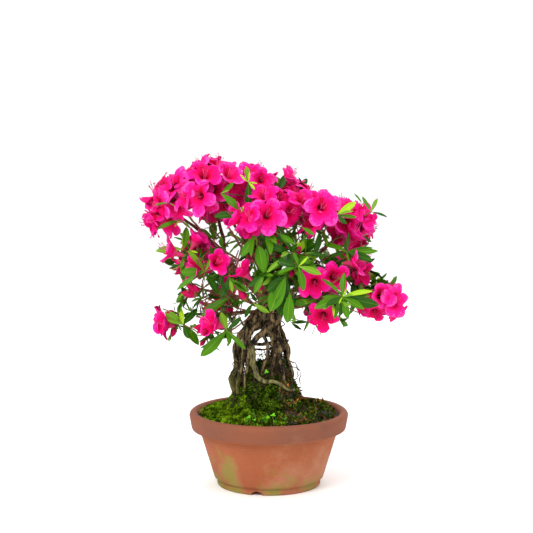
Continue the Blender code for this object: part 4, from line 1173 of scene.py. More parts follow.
rng = random.Random(TWIG_SEED)
twigs = [(smooth_line([stem.start, stem.end], TWIG_STEPS), tapered(*STEM_RADII, TWIG_STEPS + 1))
         for stem in stems]
for _, shoot in flowering + leafy + whorl_shoots:
    twigs.append((twig_line(shoot, rng), tapered(*TWIG_RADII, TWIG_STEPS + 1)))
for radius, *knots in FRONT_TWIGS:
    line = smooth_line([Vector(knot) * MM for knot in knots], 4 * (len(knots) - 1))
    line = wander(line, BOUGH_BEND, rng)
    twigs.append((line, tapered(radius * 0.8 * MM, radius * 1.1 * MM, len(line))))
inner_shoots = []
for _ in range(INNER_TWIGS):
    limb = rng.choice(CROWN)
    line, _ = lines[limb.name]
    start = point_on(line, rng.uniform(*INNER_START))
    lead = ((start - HEART).normalized() + Vector([rng.uniform(-1, 1) for _ in range(3)]))
    end = start + lead.normalized() * rng.uniform(*INNER_REACH)
    inner_shoots.append((limb, Shoot(start, end, None)))
    twigs.append((twig_line(inner_shoots[-1][1], rng), tapered(0.7 * MM, 0.45 * MM, TWIG_STEPS + 1)))
twig_piece = grown(line_object("twig_lines", twigs), "twigs", wood_tree(twig_bark),
                   Sides=6, Relief=0.25 * MM, Grain=2.5 * MM)
settle(twig_piece, "bark", *masses)

limbs = [refined(*lines[limb.name], rng) for limb in CROWN]
bough_piece = grown(line_object("bough_lines", limbs), "boughs", wood_tree(bough_bark),
                    Sides=12, Relief=0.8 * MM, Grain=4.0 * MM)
settle(bough_piece, "bark", *boughs)

# %% [markdown]
# ## Setting out many small things
# Leaves, flowers, buds and moss are each a few small shapes, set out again and again. A point
# carries the shape's turn, size and kind, and a Geometry Nodes tree puts the shape on it. Each
# face of a small shape knows which finish it wears by a number, and the tree ends by giving each
# number its material.

# %% The trees that set shapes out
def finished_by_number(tree, geometry, finishes):
    """Realized shapes with each face's material set by its finish number."""
    number = add(tree, "GeometryNodeInputNamedAttribute", {"Name": "finish"}, data_type="INT")
    realized = add(tree, "GeometryNodeRealizeInstances", {"Geometry": geometry})
    geometry = realized.outputs[0]
    for index, finish in enumerate(finishes):
        chosen = add(tree, "FunctionNodeCompare", {2: number.outputs["Attribute"], 3: index},
                     data_type="INT", operation="EQUAL")
        geometry = add(tree, "GeometryNodeSetMaterial",
                       {"Geometry": geometry, "Selection": chosen.outputs[0],
                        "Material": finish}).outputs["Geometry"]
    return geometry


def named(tree, name, kind):
    return add(tree, "GeometryNodeInputNamedAttribute", {"Name": name},
               data_type=kind).outputs["Attribute"]


def shapes_of(tree, shapes):
    info = add(tree, "GeometryNodeCollectionInfo",
               {"Collection": shapes, "Separate Children": True, "Reset Children": True})
    return info.outputs[0]


def set_out_tree(shapes, finishes):
    tree, inputs = new_tree("set_out_on_points", Scale=1.0)
    turn = add(tree, "FunctionNodeEulerToRotation", {"Euler": named(tree, "turn", "FLOAT_VECTOR")})
    size = add(tree, "ShaderNodeMath", {0: named(tree, "size", "FLOAT"), 1: inputs["Scale"]},
               operation="MULTIPLY")
    placed = add(tree, "GeometryNodeInstanceOnPoints",
                 {"Points": inputs["Geometry"], "Instance": shapes_of(tree, shapes),
                  "Pick Instance": True, "Instance Index": named(tree, "kind", "INT"),
                  "Rotation": turn.outputs[0], "Scale": size.outputs[0]})
    close_tree(tree, finished_by_number(tree, placed.outputs[0], finishes))
    return tree


def small_shapes(name, meshes):
    """A loose collection of small shapes, in the order that their kinds count."""
    collection = bpy.data.collections.new(name)
    for index, mesh in enumerate(meshes):
        collection.objects.link(bpy.data.objects.new(f"{name}_{index:02d}", mesh))
    return collection


def set_out(name, places, meshes, finishes):
    """Sets shapes out at places of (matrix, size, kind) and joins them into one piece."""
    mesh = bpy.data.meshes.new(name + "_points")
    mesh.from_pydata([matrix.translation for matrix, _, _ in places], [], [])
    turns = [angle for matrix, _, _ in places for angle in matrix.to_euler()]
    mesh.attributes.new("turn", "FLOAT_VECTOR", "POINT").data.foreach_set("vector", turns)
    sizes = [size for _, size, _ in places]
    mesh.attributes.new("size", "FLOAT", "POINT").data.foreach_set("value", sizes)
    kinds = [kind for _, _, kind in places]
    mesh.attributes.new("kind", "INT", "POINT").data.foreach_set("value", kinds)
    shapes = small_shapes(name + "_shape", meshes)
    piece = grown(new_piece(name + "_points", mesh), name, set_out_tree(shapes, finishes))
    for shape in list(shapes.objects):
        bpy.data.objects.remove(shape)
    bpy.data.collections.remove(shapes)
    return piece


# %% Small meshes with a finish number on each face
def shape_mesh(name, points, faces, numbers, smooth=True):
    mesh = bpy.data.meshes.new(name)
    mesh.from_pydata([tuple(point) for point in points], [], faces)
    mesh.attributes.new("finish", "INT", "FACE").data.foreach_set("value", numbers)
    if smooth:
        mesh.shade_smooth()
    return mesh


class Sheet:
    """Points and numbered faces, gathered grid by grid into one small shape."""

    def __init__(self):
        self.points = []
        self.faces = []
        self.numbers = []

    def grid(self, rows, number_at, closed=False):
        """Faces between rows of points. number_at(row, column) gives each face's finish."""
        first = len(self.points)
        across = len(rows[0])
        for row in rows:
            self.points += row
        for r in range(len(rows) - 1):
            for c in range(across if closed else across - 1):
                low = first + r * across
                right = (c + 1) % across
                self.faces.append((low + c, low + right, low + across + right, low + across + c))
                self.numbers.append(number_at(r, c))

    def fan(self, ring, tip, number):
        """Closes a ring of points on a tip."""
        first = len(self.points)
        self.points += ring + [tip]
        for c in range(len(ring)):
            self.faces.append((first + c, first + (c + 1) % len(ring), first + len(ring)))
            self.numbers.append(number)

    def tube(self, line, radii, sides, number):
        """A thin tube along line, shut at its far end."""
        rows = []
        for index, place in enumerate(line):
            ahead = line[min(index + 1, len(line) - 1)] - line[max(index - 1, 0)]
            frame_of = aimed(place, ahead)
            rows.append([frame_of @ Vector((radii[index] * math.cos(math.tau * c / sides),
                                            radii[index] * math.sin(math.tau * c / sides), 0))
                         for c in range(sides)])
        self.grid(rows, lambda r, c: number, closed=True)
        self.fan(rows[-1], line[-1], number)

    def mesh(self, name):
        return shape_mesh(name, self.points, self.faces, self.numbers)


# %% [markdown]
# ## Leaves
# An azalea's leaf is a small leathery oval, widest past its middle, folded a little along a
# paler midrib, with its tip curled down. Old leaves are dark and glossy; the young ones round a
# flower are lime green and softer. Each leaf is a sheet of about forty faces. The same few
# shapes make them all, and each wears one of four greens, so the crown isn't one flat green.

# %% Leaf shapes
LEAF_OUTLINE = (                   # share of the length, and half the width there
    (0.00, 0.014), (0.10, 0.046), (0.24, 0.100), (0.40, 0.146), (0.56, 0.170),
    (0.72, 0.160), (0.86, 0.110), (0.95, 0.054), (1.00, 0.010),
)
RIB_HALF = 0.009
LEAF_FORMS = (                     # fold and curl, as shares of the length, and width
    (0.30, 0.10, 0.88), (0.50, 0.20, 0.84), (0.18, 0.06, 1.16), (0.40, 0.34, 0.90),
    (0.45, 0.16, 0.56),
)
LEAF_TINTS = 4
LEAF_BLADE, LEAF_RIB = range(2)


def leaf_mesh(name, fold, curl, width, tint):
    """A leaf along +Z, one long. Its upper face looks to -Y, where its edges are raised."""
    rows = []
    for along, half in LEAF_OUTLINE:
        half *= width
        rib = min(RIB_HALF, half * 0.45)
        bend = curl * along ** 2
        ripple = 0.012 * math.sin(along * 15) * half / 0.170
        rows.append([Vector((side * half, bend - fold * half + ripple * side, along))
                     if wide else Vector((side * rib, bend, along))
                     for side, wide in ((-1, True), (-1, False), (1, False), (1, True))])
    sheet = Sheet()
    sheet.grid(rows, lambda r, c: tint * 2 + (LEAF_RIB if c == 1 else LEAF_BLADE))
    return sheet.mesh(name)


def leaf_finish(name, colour, roughness, bump):
    """Leather-like leaf: a waxy surface over a fine net of veins."""
    material, tree, shader = new_finish(name, colour, roughness, Specular_IOR_Level=0.15)
    where = add(tree, "ShaderNodeTexCoord").outputs["Object"]
    net = add(tree, "ShaderNodeTexVoronoi", {"Vector": where, "Scale": 900.0},
              feature="DISTANCE_TO_EDGE")
    roughened(tree, shader, net.outputs[0], bump, 0.5)
    return material


LEAF_GREENS = (                    # blade, midrib and roughness, from old to young
    ("old_leaf", "#427604", "#648E1C", 0.44),
    ("deep_leaf", "#224E04", "#426C16", 0.40),
    ("young_leaf", "#66921A", "#8EAE40", 0.50),
    ("lime_leaf", "#98C01A", "#B4D046", 0.54),
)
leaf_finishes = []
for name, blade, rib, roughness in LEAF_GREENS:
    leaf_finishes.append(leaf_finish(name, blade, roughness, 0.15 * MM))
    leaf_finishes.append(leaf_finish(name + "_rib", rib, roughness + 0.1, 0.10 * MM))
leaf_shapes = [leaf_mesh(f"leaf_{tint}_{form}", *LEAF_FORMS[form], tint)
               for tint in range(LEAF_TINTS) for form in range(len(LEAF_FORMS))]
print(f"{len(leaf_shapes)} leaf shapes of {len(leaf_shapes[0].polygons)} faces")

# %% [markdown]
# ## Where leaves stand
# A leafy twig ends in a whorl: the lowest leaves lean out most, and the youngest stand up
# round the bud. Under each flower sits a smaller whorl. A leaf that would hang in front of a
# flower's face is left out, because on the real tree the flower pushes it aside.

# %% Leaf places
LEAF_SEED = 3014
WHORL_COUNT = (5, 8)
WHORL_LENGTH = (20 * MM, 33 * MM)
WHORL_LEAN = (0.35, 1.25)          # the youngest leaf's lean and the oldest's, in radians
WHORL_STEP = 1.1 * MM
LEAF_SAG = 0.30                    # old leaves hang this much towards the ground
RUFF_COUNT = (2, 4)                # the whorl under a flower
RUFF_LENGTH = (19 * MM, 29 * MM)
RUFF_LEAN = (0.95, 1.45)
INNER_LENGTH = (12 * MM, 22 * MM)
LIME_TWIGS = 0.20                  # share of the leafy twigs with young growth


def whorl(shoot, axis, count, lengths, leans, young, rng):
    """Places for the leaves of one whorl, youngest first."""
    first_turn = rng.uniform(0, math.tau)
    places = []
    for index in range(count):
        share = index / max(1, count - 1)
        lean = leans[0] + (leans[1] - leans[0]) * share + rng.uniform(-0.12, 0.12)
        direction = tilted(axis, lean, first_turn + index * GOLDEN_TURN)
        direction = (direction + Vector((0, 0, -LEAF_SAG * share))).normalized()
        base = shoot.end - axis * WHORL_STEP * index
        length = rng.uniform(*lengths) * (0.72 + 0.28 * min(1.0, share * 1.6))
        tint = pick_tint(young, share, rng)
        kind = tint * len(LEAF_FORMS) + rng.randrange(len(LEAF_FORMS))
        places.append((aimed(base, direction, axis), length, kind))
    return places


def pick_tint(young, share, rng):
    """0 old, 1 deep, 2 young and 3 lime: the inner leaves of a young twig are the palest."""
    if young:
        return 3 if share < 0.20 else (2 if share < 0.55 else 0)
    if share < 0.25 and rng.random() < 0.35:
        return 2
    return 1 if rng.random() < 0.45 else 0


def in_front_of_flowers(points, share_of_rim):
    """True where any point hangs before an open flower's face."""
    for point in points:
        offset = point - flower_bases
        rise = (offset * flower_facings).sum(axis=1)
        across = np.linalg.norm(offset - flower_facings * rise[:, None], axis=1)
        before = (rise > flower_depths * 0.35) & (rise < flower_depths + 0.032)
        if (before & (across < flower_rims * share_of_rim)).any():
            return True
    return False


def stands_clear(place):
    """False for a leaf that hangs before a flower's face, a gap or the bare neck."""
    matrix, length, _ = place
    along = matrix.col[2].to_3d()
    points = [np.array(matrix.translation + along * length * share) for share in LEAF_TESTED]
    clear = BACK_CLEAR_SHARE if points[-1][1] > LEAFY_FROM else CLEAR_SHARE
    return not any(is_kept_open(point) for point in points) \
        and not in_front_of_flowers(points, clear)


def face_to_viewer(front, rng):
    """The listed leaves of a chosen whorl, each from the twig's tip, its upper face forwards."""
    node = Vector(front.node) * MM
    places = []
    for x, y, z, tint, form in front.leaves:
        reach = Vector((x, y, z)) * MM - node
        tip_up = Vector((rng.uniform(-0.8, 0.8), -1.0, rng.uniform(-0.1, 1.3)))
        kind = tint * len(LEAF_FORMS) + form
        places.append((aimed(node, reach.normalized(), tip_up), reach.length, kind))
    return places


CLEAR_SHARE = 0.80                 # of a flower's width that no grown leaf covers
BACK_CLEAR_SHARE = 0.45            # the back is leafier, from this far behind the middle
LEAFY_FROM = 0.022
THIN_MIDDLE = (0.060, 0.212, 0.292, 0.7)    # half width, bottom, top and the share left there
LEAF_TESTED = (0.35, 0.55, 0.78, 1.0)
RIM_REACH = {True: 0.0235, False: 0.0190}
SMALL_LEAVED = {                   # the shaded low limbs bear smaller leaves
    "low_left_tip": 0.50, "low_left_near": 0.55, "low_left_bud": 0.68, "left_side": 0.75,
    "left_tip": 0.75, "left_crest": 0.85, "right_tip": 0.80, "right_side": 0.85,
    "back_low_left": 0.80, "middle_face": 0.85, "low_face": 0.8,
    "back_left": 0.85, "middle_crest": 0.8, "right_shoulder": 0.8,
}
flower_bases = np.array([shoot.end for _, shoot in flowering])
flower_facings = np.array([shoot.bloom.facing for _, shoot in flowering])
flower_depths = np.array([shoot.bloom.depth for _, shoot in flowering])
flower_rims = np.array([RIM_REACH[shoot.bloom.radius >= OPEN_BLOOM[0]] for _, shoot in flowering])

rng = random.Random(LEAF_SEED)
leaf_places = []
for limb, shoot in leafy:
    young = rng.random() < LIME_TWIGS
    small = SMALL_LEAVED.get(limb.name, 1.0)
    axis = (shoot.end - shoot.start).normalized()
    wide, low, high, share_left = THIN_MIDDLE
    middle_front = abs(shoot.end.x) < wide and shoot.end.y < 0 and low < shoot.end.z < high
    if middle_front and rng.random() > share_left:
        continue
    leaf_places += whorl(shoot, axis, rng.randint(*WHORL_COUNT),
                         [length * small for length in WHORL_LENGTH], WHORL_LEAN, young, rng)
for limb, shoot in flowering:
    small = SMALL_LEAVED.get(limb.name, 1.0)
    axis = (shoot.end - shoot.start).normalized()
    leaf_places += whorl(shoot, axis, rng.randint(*RUFF_COUNT),
                         [length * small for length in RUFF_LENGTH], RUFF_LEAN,
                         rng.random() < 0.25, rng)
for limb, shoot in inner_shoots:
    axis = (shoot.end - shoot.start).normalized()
    leaf_places += whorl(shoot, axis, rng.randint(2, 4), INNER_LENGTH, WHORL_LEAN, False, rng)
kept_places = [place for place in leaf_places if stands_clear(place)]
print(f"{len(kept_places)} leaves of {len(leaf_places)} stand clear of the flowers")
bold_places = []
for front, _ in whorl_shoots:
    bold_places += face_to_viewer(front, rng)
kept_places += bold_places
print(f"{len(bold_places)} leaves in the chosen whorls")
settle(set_out("leaves", kept_places, leaf_shapes, leaf_finishes), "foliage", *masses)

# %% [markdown]
# ## Flowers
# The corolla is one funnel that parts into five rounded lobes, whose edges overlap like the
# blades of a fan and ruffle at the rim. The upper lobe carries a darker blotch that guides
# insects down the throat. Five to ten long stamens and a style stand well out of it. Three
# pinks are dealt out by flower: the light pink mostly to flowers that face up or stand high,
# as painted light, and the deep pink more often to the others, as painted shade. The throat,
# whose crimson is partly its own and partly painted shade, the blotch and the thin edge have
# their own.

# %% Petal shapes
OPEN_PROFILE = ((1.2, 0.0), (2.1, 5.5), (4.2, 10.8), (8.0, 15.4), (13.0, 18.6), (18.2, 20.4),
                (22.6, 20.4))
FUNNEL_PROFILE = ((1.2, 0.0), (2.1, 7.0), (3.8, 13.5), (7.0, 18.5), (11.0, 22.2), (15.2, 25.0),
                  (19.0, 26.6))
TRUMPET_PROFILE = ((1.3, 0.0), (2.4, 6.0), (4.2, 11.5), (7.4, 17.0), (11.4, 22.0), (15.4, 26.5),
                   (18.6, 30.0))
LOBE_OUTLINE = (                   # share of the profile, and the half angle there in degrees
    (0.000, 38.0), (0.170, 38.0), (0.330, 38.0), (0.450, 38.5), (0.540, 38.5), (0.620, 38.0),
    (0.700, 35.0), (0.780, 31.5), (0.850, 26.5), (0.910, 20.8), (0.955, 14.6), (0.985, 8.2),
    (1.000, 2.2),
)
LOBE_STRIPS = (-1.0, -0.72, -0.43, -0.33, -0.06, 0.06, 0.33, 0.43, 0.72, 1.0)
VEIN_STRIPS = (2, 4, 6)
FLOWER_FORMS = (                   # profile, recurve in mm, ruffle in mm, width
    (OPEN_PROFILE, 3.5, 1.7, 1.00),
    (OPEN_PROFILE, 6.0, 1.4, 0.95),
    (OPEN_PROFILE, 1.0, 2.0, 1.05),
    (FUNNEL_PROFILE, 2.5, 1.3, 1.20),
    (FUNNEL_PROFILE, 6.0, 1.5, 1.12),
    (TRUMPET_PROFILE, 3.0, 1.6, 1.42),
)
PROFILE_OF_FORM = (0, 0, 0, 1, 1, 2)
FLOWER_TINTS = 3
FLOWER_SEED = 4014
PETAL_STEPS = (0.50, 0.68, 0.86)   # shares of the petal where its pink turns a step lighter, out of the painted shade of the throat
STEP_JITTER = 0.07                 # and how raggedly it turns
SHADES = len(PETAL_STEPS) + 1      # each tint's own finishes
THROAT, BLOTCH = FLOWER_TINTS * SHADES, FLOWER_TINTS * SHADES + 1    # shared by every tint
FLOWER_SIZES = (0.86, 1.02)


def eased(value, start, end):
    share = min(1.0, max(0.0, (value - start) / (end - start)))
    return share * share * (3 - 2 * share)


def along_profile(profile, share):
    """Radius and height, in metres, at a share of the way up a flower's profile."""
    knots = [Vector((radius, height, 0)) for radius, height in profile]
    place = share * (len(knots) - 1)
    span = min(int(place), len(knots) - 2)
    ends = [2 * knots[0] - knots[1], *knots, 2 * knots[-1] - knots[-2]]
    t = place - span
    a, b, c, d = ends[span:span + 4]
    point = 0.5 * (2 * b + (c - a) * t + (2 * a - 5 * b + 4 * c - d) * t ** 2
                   + (3 * b - a - 3 * c + d) * t ** 3)
    return point.x * MM, point.y * MM


def petal_rows(form, angle, rng):
    """The points of one petal, from the flower's base to the lobe's tip."""
    profile, recurve, ruffle, width = form
    phase = rng.uniform(0, math.tau)
    lift = rng.uniform(-3.6, 2.8) * MM
    bend = recurve * rng.uniform(0.2, 1.5) * MM
    twist = rng.uniform(-0.42, 0.42)
    sway = rng.uniform(-0.13, 0.13)
    reach = rng.uniform(0.88, 1.05)
    cupping = rng.uniform(-0.075, 0.020)
    narrow = rng.uniform(0.84, 1.04)
    rows = []
    for share, half in LOBE_OUTLINE:
        radius, height = along_profile(profile, share)
        open_part = eased(share, 0.36, 0.72)
        outer = eased(share, 0.50, 1.0)
        spread = math.radians(half) * (1 + (width - 1) * open_part) * (1 + (narrow - 1) * outer)
        row = []
        for across in LOBE_STRIPS:
            turn = angle + across * spread + sway * outer
            out = radius * (1 + (reach - 1) * outer) + 0.12 * MM * across * (1 - open_part)
            aside = out * math.sin(across * spread)
            wave = ruffle * MM * math.sin(across * 4.2 + share * 7 + phase) * across ** 2 * outer
            groove = -1.3 * MM * (1 - abs(across)) ** 2 * open_part
            fanned = 0.35 * MM * across * open_part
            crown = cupping * aside ** 2 / MM * open_part * outer
            rise = height + wave + groove + fanned + crown + aside * twist * outer
            rise += lift * outer - bend * outer ** 2
            row.append(Vector((out * math.cos(turn), out * math.sin(turn), rise)))
        rows.append(row)
    return rows


def flower_mesh(name, form, tint, seed):
    """Five lobes round +Z. The first lobe, at +X, carries the blotch."""
    rng = random.Random(seed)
    ragged = random.Random(seed)
    sheet = Sheet()
    for petal in range(PETALS):

        def number_at(r, c, petal=petal):
            share = (LOBE_OUTLINE[r][0] + LOBE_OUTLINE[r + 1][0]) / 2
            across = (LOBE_STRIPS[c] + LOBE_STRIPS[c + 1]) / 2
            marked = petal == 0 and abs(across) < 0.5
            if marked and 0.28 < share < 0.62 and (c % 2 or share < 0.46):
                return BLOTCH
            turned_at = share + STEP_JITTER * ragged.uniform(-1, 1) + 0.06 * abs(across) ** 2
            # The throat is crimson: partly the flower's own deeper throat, partly painted shade in the funnel.
            if share < 0.29:
                return THROAT
            if c in VEIN_STRIPS and share < 0.86:
                turned_at -= 0.10
            return tint * SHADES + sum(turned_at > step for step in PETAL_STEPS)

        sheet.grid(petal_rows(form, math.tau * petal / PETALS, rng), number_at)
    return sheet.mesh(name)


flower_shapes = []
for tint in range(FLOWER_TINTS):
    for form in range(len(FLOWER_FORMS)):
        seed = FLOWER_SEED + len(flower_shapes)
        flower_shapes.append(flower_mesh(f"flower_{tint}_{form}", FLOWER_FORMS[form], tint, seed))
print(f"{len(flower_shapes)} flower shapes of {len(flower_shapes[0].polygons)} faces")


# %% Petal finishes
def petal_finish(name, colour, roughness=0.75):
    """Thin, silky petal: matt, with hardly any gloss, over faint lengthwise wrinkles."""
    material, tree, shader = new_finish(name, colour, roughness, Specular_IOR_Level=0.10)
    where = add(tree, "ShaderNodeTexCoord").outputs["Object"]
    crinkle = add(tree, "ShaderNodeTexNoise", {"Vector": where, "Scale": 420.0, "Detail": 3.0})
    roughened(tree, shader, crinkle.outputs[0], 0.5 * MM, 0.6)
    return material


PETAL_PINKS = (                    # each tint from the throat outwards: the darker inner steps are partly the flower's own deeper pink, partly painted shade in the funnel
    ("hot_pink", "#CE0048", "#DE0064", "#E8047E", "#EC2A9A"),
    ("deep_pink", "#BE0040", "#CC0052", "#DA0068", "#E21886"),
    ("light_pink", "#DA0054", "#E60672", "#EE1C8C", "#F044A6"),
)
petal_finishes = []
for name, *pinks in PETAL_PINKS:
    petal_finishes += [petal_finish(f"{name}_{step}", pink) for step, pink in enumerate(pinks)]
# The crimson throat is partly the flower's own colour and partly painted shade in the funnel.
petal_finishes.append(petal_finish("throat_crimson", "#B00438"))
petal_finishes.append(petal_finish("blotch_red", "#C4043C"))

# %% [markdown]
# ## The flower's other parts
# Outside, the funnel pales to salmon towards a small green calyx. Inside stand the stamens: thin
# pink threads that bow up towards the blotch, each with a dark anther, and a longer style.
# They are pieces of their own, set out on the same places as the petals.

# %% Sleeve, calyx and stamens
SLEEVE_ROWS = (0.0, 0.05, 0.16, 0.28, 0.38, 0.46)
SLEEVE_SIDES = 15
SLEEVE_GAP = 0.30 * MM
SALMON, CALYX = range(2)
STAMENS = 6
FILAMENT, ANTHER, STYLE = range(3)


def sleeve_mesh(name, profile):
    rows = []
    for share in SLEEVE_ROWS:
        radius, height = along_profile(profile, share)
        wide = radius + SLEEVE_GAP * (2.2 if share < 0.1 else 1.0)
        rows.append([Vector((wide * math.cos(math.tau * c / SLEEVE_SIDES),
                             wide * math.sin(math.tau * c / SLEEVE_SIDES),
                             height - SLEEVE_GAP * 1.5)) for c in range(SLEEVE_SIDES)])
    sheet = Sheet()
    sheet.grid(rows, lambda r, c: CALYX if r == 0 else SALMON, closed=True)
    sheet.fan(rows[0][::-1], Vector((0, 0, -0.8 * MM)), CALYX)
    for sepal in range(PETALS):
        angle = math.tau * (sepal + 0.5) / PETALS
        out = Vector((math.cos(angle), math.sin(angle), 0))
        side = Vector((-out.y, out.x, 0))
        base = Vector((0, 0, -0.3 * MM))
        blade = [[base + out * 1.2 * MM - side * 0.9 * MM, base + out * 1.2 * MM + side * 0.9 * MM],
                 [base + out * 2.9 * MM - side * 0.7 * MM + Vector((0, 0, 2.6 * MM)),
                  base + out * 2.9 * MM + side * 0.7 * MM + Vector((0, 0, 2.6 * MM))]]
        sheet.grid(blade, lambda r, c: CALYX)
    return sheet.mesh(name)


def stamen_mesh(name, depth, seed):
    """Threads from the throat that bow to +X, and their anthers."""
    rng = random.Random(seed)
    sheet = Sheet()
    for index in range(STAMENS + 1):
        style = index == STAMENS
        angle = math.tau * index / STAMENS + rng.uniform(-0.3, 0.3)
        spread = 1.5 if style else rng.uniform(2.0, 5.0)
        height = depth + (10.5 if style else rng.uniform(2.5, 8.0))
        bow = 5.0 if style else rng.uniform(2.0, 4.5)
        tip = Vector((bow + spread * math.cos(angle), spread * math.sin(angle), height)) * MM
        foot = Vector((0.7 * math.cos(angle), 0.7 * math.sin(angle), 3.0)) * MM
        sag = Vector((tip.x * 0.10 - 0.6 * MM, tip.y * 0.45, tip.z * 0.62))
        thread = smooth_line([foot, sag, tip], 6)
        width = (0.34 if style else 0.27) * MM
        sheet.tube(thread, [width] * len(thread), 3, STYLE if style else FILAMENT)
        if style:
            continue
        axis = tilted((tip - sag).normalized(), 0.7, rng.uniform(0, math.tau))
        frame_of = aimed(tip, axis)
        ring = [frame_of @ Vector((0.55 * MM * math.cos(math.tau * c / 4),
                                   0.55 * MM * math.sin(math.tau * c / 4), 0)) for c in range(4)]
        sheet.fan(ring, tip + axis * 1.0 * MM, ANTHER)
        sheet.fan(ring[::-1], tip - axis * 1.0 * MM, ANTHER)
    return sheet.mesh(name)


# %% Setting the flowers out
UP = Vector((0, 0, 1))


def upright_frame(shoot):
    """A flower's frame with the lobe that is nearest the top turned to +X."""
    frame_of = aimed(shoot.end, shoot.bloom.facing)
    best = max(range(PETALS), key=lambda k: lobe_lift(frame_of, shoot.bloom.turn, k))
    return frame_of @ Matrix.Rotation(shoot.bloom.turn + math.tau * best / PETALS, 4, "Z")


def lobe_lift(frame_of, turn, index):
    angle = turn + math.tau * index / PETALS
    return (frame_of.to_3x3() @ Vector((math.cos(angle), math.sin(angle), 0))).dot(UP)


rng = random.Random(FLOWER_SEED)
flower_places, sleeve_places, stamen_places = [], [], []
for _, shoot in flowering:
    funnel = shoot.bloom.radius < OPEN_BLOOM[0]
    # A flower that faces up or stands high is painted lighter: it takes the light pink most often, and the others take
    # the hot and deep pinks more often, as painted shade. Otherwise the tint is dealt at random.
    painted_sunlit = shoot.bloom.facing.z > 0.15 or shoot.end.z > 0.31
    tint = rng.choices(range(FLOWER_TINTS), (3, 1, 5) if painted_sunlit else (5, 3, 2))[0]
    form = rng.choice(FUNNEL_FORMS) if funnel else rng.choice((0, 1, 2))
    size = rng.uniform(*FLOWER_SIZES)
    if shoot.bloom.size:
        form = shoot.bloom.form
        size = shoot.bloom.size
    frame_of = upright_frame(shoot)
    flower_places.append((frame_of, size, tint * len(FLOWER_FORMS) + form))
    sleeve_places.append((frame_of, size, PROFILE_OF_FORM[form]))
    stamen_places.append((frame_of, size, PROFILE_OF_FORM[form] * 2 + rng.randrange(2)))

petals = set_out("petals", flower_places, flower_shapes, petal_finishes)
settle(petals, "foliage", *masses)
sleeves = [sleeve_mesh("open_sleeve", OPEN_PROFILE), sleeve_mesh("funnel_sleeve", FUNNEL_PROFILE),
           sleeve_mesh("trumpet_sleeve", TRUMPET_PROFILE)]
settle(set_out("flower_tubes", sleeve_places, sleeves,
               [petal_finish("salmon_tube", "#CC3868"), petal_finish("green_calyx", "#8E9A4A")]),
       "foliage", *masses)
stamens = [stamen_mesh(f"stamens_{index}", depth, FLOWER_SEED + index)
           for index, depth in enumerate((16.5, 16.5, 23.0, 23.0, 28.0, 28.0))]
settle(set_out("stamens", stamen_places, stamens,
               [petal_finish("pink_filament", "#F0559A"), petal_finish("dark_anther", "#5A2430"),
                petal_finish("pink_style", "#E0307A")]),
       "foliage", *masses)

# %% [markdown]
# ## Buds
# Flowers that haven't opened are furled spindles, crimson where the petals show and still
# wrapped in brown scales at the foot. A few stand at the tips of the leafy twigs.

# %% Buds
BUD_SEED = 5014
BUD_SHARE = 0.22                   # of the leafy twigs
BUD_PROFILE = ((0.0, 0.8), (1.5, 2.0), (3.5, 2.9), (6.0, 3.3), (9.0, 2.9), (12.0, 1.7), (14.0, 0.5))
BUD_SIDES = 8
BUD_TWIST = 0.22
SCALE, FURLED = range(2)


def bud_mesh(name):
    rows = []
    for index, (height, radius) in enumerate(BUD_PROFILE):
        row = []
        for c in range(BUD_SIDES):
            turn = math.tau * c / BUD_SIDES + BUD_TWIST * index
            wide = radius * (1.0 + 0.10 * (c % 2)) * MM
            row.append(Vector((wide * math.cos(turn), wide * math.sin(turn), height * MM)))
        rows.append(row)
    sheet = Sheet()
    sheet.grid(rows, lambda r, c: SCALE if r < 2 else FURLED, closed=True)
    sheet.fan(rows[-1], Vector((0, 0, 14.6 * MM)), FURLED)
    sheet.fan(rows[0][::-1], Vector((0, 0, -0.4 * MM)), SCALE)
    return sheet.mesh(name)


FRONT_BUDS = (                     # foot and tip in mm, and size
    (seen(247, 301, -62), seen(238, 288, -64), 1.2), ((-78, -30, 219), seen(179.6, 293, -32), 1.35),
    ((-78, -30, 222), (-91, -32, 231), 1.1), ((-76, -32, 222), (-86, -36, 236), 0.8),
)
rng = random.Random(BUD_SEED)
bud_places = []
for _, shoot in leafy:
    if rng.random() > BUD_SHARE or is_kept_open(shoot.end, OPEN_GAP):
        continue
    axis = (shoot.end - shoot.start).normalized()
    for _ in range(rng.choice((1, 1, 2))):
        lean = tilted(axis, rng.uniform(0.05, 0.45), rng.uniform(0, math.tau))
        bud_places.append((aimed(shoot.end, lean), rng.uniform(0.75, 1.1), 0))
for foot, tip, size in FRONT_BUDS:
    foot = Vector(foot) * MM
    bud_places.append((aimed(foot, Vector(tip) * MM - foot), size, 0))
settle(set_out("buds", bud_places, [bud_mesh("bud")],
               [petal_finish("brown_bud_scale", "#8A5A34"), petal_finish("crimson_bud", "#B80F4E")]),
       "foliage", *masses)
print(f"{len(bud_places)} buds")

# %% [markdown]
# ## The bared roots
# The trunk stands on a cage of old roots that once ran through soil. They spring from a swollen
# head, wind round each other, and splay to a wide foot in the moss. The fourteen main roots
# follow the solid's own lines, with more points and a little more winding. Finer roots fill
# the cage, and wiry ones cross it. The thick ones are fused by a voxel remesh, which melts their
# joints together as living wood does, and a noise along the grain gives the fused wood its
# furrows.

